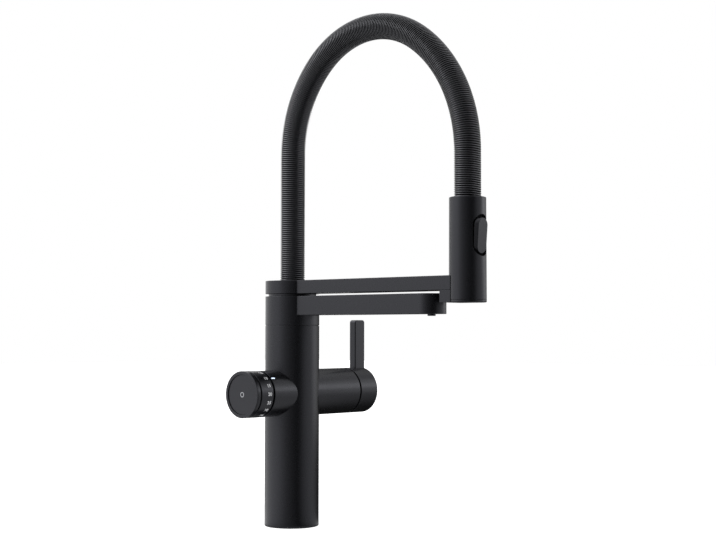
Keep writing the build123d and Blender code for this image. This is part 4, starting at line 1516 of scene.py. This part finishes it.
@dataclass
class Lever(SubAssembly):
    """The mixer's cap with its upright blade.

    Attributes:
        cap_round: Rounding of the cap's end.
        skirt_wall: Wall of the cap's skirt.
        skirt_depth: Depth of the skirt.
        skirt_inside: Rounding of the skirt's inner edge.
        skirt_outside: Rounding of its outer edge.
        edge: Rounding of the blade's edges.
        corner: Rounding of the blade's upper corners.
        play: Gap round the blade and the screw, and twice the gap under the blade.
        socket: Half of the height of the stem's socket.
    """

    cap_round: float = 2.0 * MM
    skirt_wall: float = 1.75 * MM
    skirt_depth: float = 9.8 * MM
    skirt_inside: float = 0.2 * MM
    skirt_outside: float = 0.3 * MM
    edge: float = 1.0 * MM
    corner: float = 2.8 * MM
    play: float = 0.1 * MM
    socket: float = 3.55 * MM

    def build(self) -> None:
        """Makes and mounts the cap and the blade."""
        cap = Extent.of("lever_cap")
        blade = Extent.of("lever_blade")
        stem = Extent.of("lever_stem")
        grub = Extent.of("grub_screw")
        axis, start, end, radius = cap.centre.z, cap.low.y, cap.high.y, cap.radius
        inner, depth = radius - self.skirt_wall, start + self.skirt_depth
        corners = [
            Corner(0.0, depth),
            Corner(inner, depth),
            Corner(inner, start, self.skirt_inside),
            Corner(radius, start, self.skirt_outside),
            Corner(radius, end, self.cap_round),
            Corner(0.0, end),
        ]
        made = SHOP.turned("lever_hood", corners, sideways(axis, True), closed=False)
        corner = (blade.low.x - self.play, blade.low.y - self.play)
        notch = rectangle(corner, (blade.high.x + self.play, end + MM))
        socket = rectangle((stem.low.x, start - MM), (stem.high.x, stem.high.y))
        hole = Matrix.Translation((0.0, grub.centre.y, 0.0))
        tools = [
            SHOP.plate("tool", notch, blade.low.z - self.play / 2, blade.high.z, upright()),
            SHOP.plate("tool", socket, axis - self.socket, axis + self.socket, upright()),
            SHOP.rod(grub.girth + self.play, axis - CLEAR * radius, axis, hole, Fineness.SMALL),
        ]
        SHOP.work(made, Operation.CUT, tools)
        self.dress(made, SATIN_METAL, Slot.METAL, "lever_cap", body="lever")
        self._blade()

    def _blade(self) -> None:
        """The upright handle, flush with the cap's end."""
        blade = Extent.of("lever_blade")
        half_width, depth, height = (blade.high - blade.low) / 2
        profile = rounded([
            Corner(-depth, 0.0),
            Corner(depth, 0.0),
            Corner(depth, 2 * height, self.corner),
            Corner(-depth, 2 * height, self.corner),
        ])
        turn = Matrix(((0, 0, 1, 0), (1, 0, 0, 0), (0, 1, 0, 0), (0, 0, 0, 1)))
        place = Matrix.Translation((0.0, blade.centre.y, blade.low.z)) @ turn
        made = SHOP.plate("lever_handle", profile, -half_width, half_width, place)
        SHOP.soften(made, self.edge, segments=4, angle=50.0)
        self.dress(made, SATIN_METAL, Slot.METAL, "lever_blade", body="lever")


@dataclass
class Dial(SubAssembly):
    """The number dial with its push button.

    Attributes:
        wall: Wall of the number band.
        web: Thickness of the band's inner disc.
        groove_width: Width of the groove behind the rim.
        groove_depth: Depth of that groove.
        rim_width: Width of the rim's face.
        rim_round: Rounding of the rim.
        rim_groove: Distance of the fine groove from the rim's face.
        rim_groove_size: Width and depth of that groove.
        edge: Rounding of the other edges.
        button_drop: How far the button's face lies behind the rim's.
        button_gap: Gap round the button.
        button_thickness: Thickness of the button's disc.
        button_peg: Radius of its peg.
        first_number: Number at the light.
        number_step: Step from one number to the next.
        number_count: How many numbers go round.
        number_angle: Angle of the first number, up from +X, in degrees.
        number_middle: Place of the numbers' middle along Y.
        number_height: Height of a digit.
        digit_share: Share of the font's size that a digit's height takes.
        digit_weight: How far the digits' outlines are moved outwards.
        digit_spacing: Distance between the digits, where 1 is the font's own.
        strips: Flat strips that a digit is bent in.
        ink: Thickness of the print.
        mark_radius: Outer radius of the ring mark on the button.
        mark_stroke: Stroke of that mark.
        dome_top: Radius of the dome's top.
        dome_wall: Wall of the dome.
        soft_edge: Rounding of the dome and the bush.
        shaft_play: Gap round the shaft in the band, and half the gap in the bush.
        flange: Width of the bush's flange.
        flange_gap: Gap behind the flange.
    """

    wall: float = 3.0 * MM
    web: float = 3.0 * MM
    groove_width: float = 1.8 * MM
    groove_depth: float = 1.0 * MM
    rim_width: float = 3.3 * MM
    rim_round: float = 0.5 * MM
    rim_groove: float = 1.3 * MM
    rim_groove_size: float = 0.25 * MM
    edge: float = 0.3 * MM
    button_drop: float = 0.85 * MM
    button_gap: float = 0.25 * MM
    button_thickness: float = 1.6 * MM
    button_peg: float = 4.0 * MM
    first_number: int = 10
    number_step: int = 5
    number_count: int = 17
    number_angle: float = 43.7
    number_middle: float = -52.3 * MM
    number_height: float = 3.1 * MM
    digit_share: float = 0.7
    digit_weight: float = 0.16 * MM
    digit_spacing: float = 1.12
    strips: int = 6
    ink: float = 0.06 * MM
    mark_radius: float = 2.5 * MM
    mark_stroke: float = 0.7 * MM
    dome_top: float = 5.0 * MM
    dome_wall: float = 0.8 * MM
    soft_edge: float = 0.2 * MM
    shaft_play: float = 0.03 * MM
    flange: float = 2.03 * MM
    flange_gap: float = 0.05 * MM

    def build(self) -> None:
        """Makes and mounts every piece."""
        self._band()
        self._rim()
        self._button()
        self._numbers()
        self._dome()
        self._bearing()

    def _turned(self, name: str, corners: Sequence[Corner], **options: object) -> bpy.types.Object:
        """Turns a piece about the dial's axis, with the section's heights outwards."""
        place = sideways(Extent.of("number_ring").centre.z, False)
        return SHOP.turned(name, corners, place, **options)

    def _band(self) -> None:
        """The band that carries the numbers, with the groove at its front."""
        band = Extent.of("number_ring")
        start, end, radius = -band.high.y, -band.low.y, band.radius
        shoulder = end - self.groove_width
        web = shoulder - self.web
        bore = Extent.of("dial_shaft").radius + self.shaft_play
        corners = [
            Corner(radius, start, self.edge),
            Corner(radius, shoulder, self.edge),
            Corner(radius - self.groove_depth, shoulder),
            Corner(radius - self.groove_depth, end),
            Corner(bore, end),
            Corner(bore, web),
            Corner(radius - self.wall, web),
            Corner(radius - self.wall, start, self.edge),
        ]
        made = self._turned("number_band", corners)
        self.dress(made, SATIN_METAL, Slot.METAL, "number_ring", body="dial")

    def _rim(self) -> None:
        """The rounded front rim."""
        rim = Extent.of("dial_rim")
        start, end, radius = -rim.high.y, -rim.low.y, rim.radius
        groove, depth = end - self.rim_groove, self.rim_groove_size
        corners = [
            Corner(radius, start, self.edge),
            Corner(radius, groove - depth),
            Corner(radius - depth, groove - depth),
            Corner(radius - depth, groove),
            Corner(radius, groove),
            Corner(radius, end, self.rim_round),
            Corner(radius - self.rim_width, end, self.edge / 2),
            Corner(radius - self.rim_width, start),
        ]
        made = self._turned("front_rim", corners)
        self.dress(made, SATIN_METAL, Slot.METAL, "dial_rim", body="dial")

    def _button(self) -> None:
        """The disc in the dial's face, with its peg and its ring mark."""
        rim = Extent.of("dial_rim")
        back, face = -Extent.of("push_button").high.y, -rim.low.y - self.button_drop
        radius = rim.radius - self.rim_width - self.button_gap
        shoulder = face - self.button_thickness
        corners = [
            Corner(0.0, back),
            Corner(self.button_peg, back, self.edge),
            Corner(self.button_peg, shoulder),
            Corner(radius, shoulder, self.edge),
            Corner(radius, face, self.edge / 2),
            Corner(0.0, face),
        ]
        made = self._turned("button_disc", corners, closed=False)
        self.dress(made, SATIN_PLASTIC, Slot.PLASTIC, "push_button", body="button")
        inner = self.mark_radius - self.mark_stroke
        corners = [
            Corner(inner, face - self.ink),
            Corner(self.mark_radius, face - self.ink),
            Corner(self.mark_radius, face + self.ink, self.ink / 2),
            Corner(inner, face + self.ink, self.ink / 2),
        ]
        mark = self._turned("button_mark", corners, fineness=Fineness.MEDIUM)
        self.dress(mark, MARK, Slot.PLASTIC, body="button")

    def _numbers(self) -> None:
        """The printed numbers round the band, as one piece."""
        shape = bmesh.new()
        for index in range(self.number_count):
            label = str(self.first_number + self.number_step * index)
            angle = math.radians(self.number_angle) - TURN / self.number_count * index
            self._print(shape, label, angle)
        made = SHOP.piece("printed_numbers", shape, Matrix.Identity(4))
        self.dress(made, PRINT, Slot.METAL, body="dial", smooth=False)

    def _print(self, shape: bmesh.types.BMesh, label: str, angle: float) -> None:
        """Adds one number to the print, bent round the band.

        Args:
            shape: The shape that collects the numbers.
            label: The number.
            angle: Angle of the number, up from +X, in radians.
        """
        band = Extent.of("number_ring")
        font = bpy.data.curves.new(label, "FONT")
        font.body = label
        font.align_x = "CENTER"
        font.align_y = "CENTER"
        font.size = self.number_height / self.digit_share
        font.extrude = self.ink
        font.offset = self.digit_weight
        font.space_character = self.digit_spacing
        holder = add_object(label, font)
        mesh = evaluated_mesh(holder)
        bpy.data.objects.remove(holder)
        glyphs = bmesh.new()
        glyphs.from_mesh(mesh)
        for k in range(self.strips + 1):
            height = self.number_height * (k / self.strips - 0.5)
            geometry = [*glyphs.verts, *glyphs.edges, *glyphs.faces]
            bmesh.ops.bisect_plane(glyphs, geom=geometry, plane_co=(0, height, 0), plane_no=(0, 1, 0))
        for spot in glyphs.verts:
            here = angle + spot.co.y / band.radius
            out = band.radius + spot.co.z
            along = self.number_middle + spot.co.x
            spot.co = (out * math.cos(here), along, band.centre.z + out * math.sin(here))
        glyphs.to_mesh(mesh)
        glyphs.free()
        shape.from_mesh(mesh)
        bpy.data.meshes.remove(mesh)

    def _dome(self) -> None:
        """The rubber dome behind the button, in its unpressed shape, on a mesh of its own."""
        dome = Extent.of("button_dome")
        base, top = -dome.high.y, -dome.low.y
        corners = [
            Corner(dome.radius, base),
            Corner(self.dome_top, top, self.soft_edge),
            Corner(self.dome_top - self.dome_wall, top),
            Corner(dome.radius - self.dome_wall, base),
        ]
        made = self._turned("press_dome", corners, fineness=Fineness.SMALL)
        self.dress(made, SOFT_RUBBER, Slot.RUBBER, "button_dome", body="dial")
        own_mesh(made)

    def _bearing(self) -> None:
        """The flanged bush, whose near-black flange stands for the gap beside the band: partly the bush's
        own black, partly painted shade.
        """
        bush = Extent.of("dial_bearing")
        start, end = -bush.high.y, -bush.low.y
        flange = -Extent.of("dial_stub").low.y + self.flange_gap
        bore = Extent.of("dial_shaft").radius + 2 * self.shaft_play
        barrel = bush.radius - self.flange
        corners = [
            Corner(barrel, start),
            Corner(barrel, flange),
            Corner(bush.radius, flange),
            Corner(bush.radius, end, self.soft_edge),
            Corner(bore, end),
            Corner(bore, start),
        ]
        made = self._turned("gap_bush", corners)
        self.dress(made, LINING_WITH_PAINTED_SHADE, Slot.BEARING, "dial_bearing", body="column")


class CarriedNodes:
    """The CAD nodes that keep their own shape."""

    def dress(self, frame: dict) -> None:
        """Gives every CAD node that still shows the surface of its slot.

        Args:
            frame: The loaded frame.
        """
        slots = {row["node"]: Slot(row["material_slot"]) for row in frame["record"]["subparts"]}
        for name, node in frame["nodes"].items():
            material = SLOT_FINISHES[slots[name]].material()
            if not node.material_slots:
                node.data.materials.append(material)
            for place in node.material_slots:
                place.material = material
        LOG.info("%d CAD nodes dressed", len(slots))


PALE_FLOOR = FloorSurface("floor", (0.86, 0.86, 0.86), (0.85, 0.85, 0.85))
BLACK = (0.0, 0.0, 0.0)
LOWER_SCREEN = ScreenSurface("screen_lower", BLACK, (
    (-100, 0.8), (-80, 0.44), (-62, 0.25), (-42, 0.12), (-20, 0.03), (-6, 0.14), (6, 0.44), (20, 0.6),
    (34, 0.62), (43, 0.54), (51, 0.95), (66, 1.1), (78, 0.7), (90, 0.35), (104, 0.1), (130, 0.04),
))
UPPER_SCREEN = ScreenSurface("screen_upper", BLACK, (
    (-100, 1.2), (-62, 0.5), (-42, 0.27), (-22, 0.2), (4, 0.5),
    (34, 0.75), (54, 0.65), (72, 0.45), (86, 0.4), (130, 0.3),
))
TOP_SCREEN = ScreenSurface("screen_top", BLACK, (
    (-100, 1.5), (-62, 0.6), (-42, 0.3), (-22, 0.25), (4, 0.8),
    (34, 1.5), (60, 1.5), (76, 0.9), (88, 0.8), (130, 0.6),
))
FLOOR_CLOTH = ScreenSurface("screen_low", BLACK, (
    (-180, 1.0), (-130, 1.0), (-100, 0.8), (-62, 0.3), (-22, 0.03), (4, 0.4), (34, 0.6),
    (50, 0.45), (66, 0.2), (80, 0.05), (100, 0.02), (140, 0.02), (180, 1.0),
))


@dataclass(frozen=True)
class SoftBox:
    """A rectangular lamp that faces the tap, and that the camera doesn't see.

    Attributes:
        name: Its name.
        place: Where it stands.
        power: Its power in watts.
        width: Its width.
        height: Its height.
        target: The point that it faces.
    """

    name: str
    place: tuple[float, float, float]
    power: float
    width: float
    height: float
    target: tuple[float, float, float] = (0.05, 0.0, 0.25)

    def build(self) -> None:
        """Makes the lamp."""
        lamp = bpy.data.lights.new(self.name, "AREA")
        lamp.shape = "RECTANGLE"
        lamp.size = self.width
        lamp.size_y = self.height
        lamp.energy = self.power
        holder = add_object(self.name, lamp)
        aim = Vector(self.target) - Vector(self.place)
        turn = aim.to_track_quat("-Z", "Y").to_matrix().to_4x4()
        holder.matrix_world = Matrix.Translation(self.place) @ turn
        holder.visible_camera = False


@dataclass
class Studio:
    """Floor, light and camera.

    Attributes:
        lens: Focal length in millimetres.
        sensor: Width of the camera's sensor in millimetres.
        place: The camera's place.
        heading: Its turn about the vertical in degrees.
        pitch: How far it looks up, in degrees.
        roll: Its turn about its own axis in degrees.
        floor_size: Side of the floor.
        cloth_size: Side of the floor cloth.
        cloth_height: Height of the floor cloth.
        screen_radius: Distance of the screens from the tap.
        screen_steps: Flat strips of a screen.
        screen_heights: Lower edge of the lowest screen, and the upper edge of each.
        fill: Strength of the world's soft light.
    """

    lens: float = 69.80
    sensor: float = 36.0
    place: tuple[float, float, float] = (0.98669, -0.98458, 0.19186)
    heading: float = 42.358
    pitch: float = 2.571
    roll: float = 0.092
    floor_size: float = 12.0
    cloth_size: float = 2.4
    cloth_height: float = 2.0 * MM
    screen_radius: float = 1.25
    screen_steps: int = 48
    screen_heights: tuple[float, ...] = (0.0, 0.9, 1.35, 2.2)
    fill: float = 0.75

    def build(self) -> None:
        """Makes the whole studio."""
        self._camera()
        self._sheet(PALE_FLOOR, self.floor_size, 0.0)
        self._world()
        SoftBox("key", (-0.8, -0.95, 1.1), power=6.0, width=1.0, height=0.8).build()
        SoftBox("rear", (0.76, 0.8, 0.46), power=0.38, width=0.4, height=0.3).build()
        self._screens()
        bpy.context.scene.view_settings.view_transform = "Standard"

    def _camera(self) -> None:
        """The camera at the photograph's viewing angle."""
        lens = bpy.data.cameras.new("camera")
        lens.lens = self.lens
        lens.sensor_width = self.sensor
        camera = add_object("camera", lens)
        turn = Matrix.Rotation(math.radians(self.heading), 4, "Z")
        turn = turn @ Matrix.Rotation(math.radians(90 + self.pitch), 4, "X")
        turn = turn @ Matrix.Rotation(math.radians(self.roll), 4, "Z")
        camera.matrix_world = Matrix.Translation(self.place) @ turn
        bpy.context.scene.camera = camera

    def _world(self) -> None:
        """White for the camera and for reflections, and a soft fill for the rest."""
        world = bpy.data.worlds.new("studio")
        bpy.context.scene.world = world
        world.use_nodes = True
        world.node_tree.nodes.clear()
        graph = Graph(world.node_tree)
        path = graph.node("ShaderNodeLightPath")
        seen = graph.signal(path, "Is Camera Ray")
        for other in ("Is Glossy Ray", "Is Transmission Ray"):
            seen = seen.math("MAXIMUM", path.outputs[other])
        inputs = {"Color": (1.0, 1.0, 1.0, 1.0), "Strength": seen.between(self.fill, 1.0)}
        sky = graph.node("ShaderNodeBackground", inputs)
        graph.node("ShaderNodeOutputWorld", {"Surface": sky.outputs[0]})

    def _screens(self) -> None:
        """Graduated curved screens and a floor cloth that only reflections and lamps see."""
        edges = zip(self.screen_heights, self.screen_heights[1:])
        for surface, (low, high) in zip((LOWER_SCREEN, UPPER_SCREEN, TOP_SCREEN), edges):
            first, last = (math.radians(surface.shades[end][0]) for end in (0, -1))
            plan = arc((0.0, 0.0), self.screen_radius, first, last, self.screen_steps)
            screen = self._stage(surface, level(plan, low), level(plan, high))
            screen.visible_camera = False
        cloth = self._sheet(FLOOR_CLOTH, self.cloth_size, self.cloth_height)
        cloth.visible_camera = False
        cloth.visible_diffuse = False
        cloth.visible_shadow = False

    def _sheet(self, surface: Surface, size: float, height: float) -> bpy.types.Object:
        """A square stage panel that lies level.

        Args:
            surface: Its surface, which also gives its name.
            size: Length of its sides.
            height: Its height.

        Returns:
            The panel.
        """
        half = size / 2
        near, far = [(-half, -half), (half, -half)], [(-half, half), (half, half)]
        return self._stage(surface, level(near, height), level(far, height))

    def _stage(self, surface: Surface, low: Sequence[Vector], high: Sequence[Vector]) -> bpy.types.Object:
        """A stage panel between two lines with as many points each.

        Args:
            surface: Its surface, which also gives its name.
            low: One of the lines.
            high: The other line.

        Returns:
            The panel.
        """
        shape = bmesh.new()
        rows = [[shape.verts.new(point) for point in row] for row in (low, high)]
        for k in range(len(low) - 1):
            shape.faces.new((rows[0][k], rows[0][k + 1], rows[1][k + 1], rows[1][k]))
        mesh = bpy.data.meshes.new(surface.name)
        shape.to_mesh(mesh)
        shape.free()
        made = add_object(surface.name, mesh)
        mesh.materials.append(surface.material())
        return made


def main() -> None:
    """Builds the tap around its frame, then the studio."""
    logging.basicConfig(level=logging.INFO, format="%(message)s")
    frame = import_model()
    CarriedNodes().dress(frame)
    for group in (Column(), FilterSpout(), DockingArm(), SpringHose(), SprayHead(), Lever(), Dial()):
        group.build()
        for piece in group.pieces:
            LOG.info("%s: %s, %d faces", type(group).__name__, piece.name, len(piece.data.polygons))
    Studio().build()


if __name__ == "__main__":
    main()
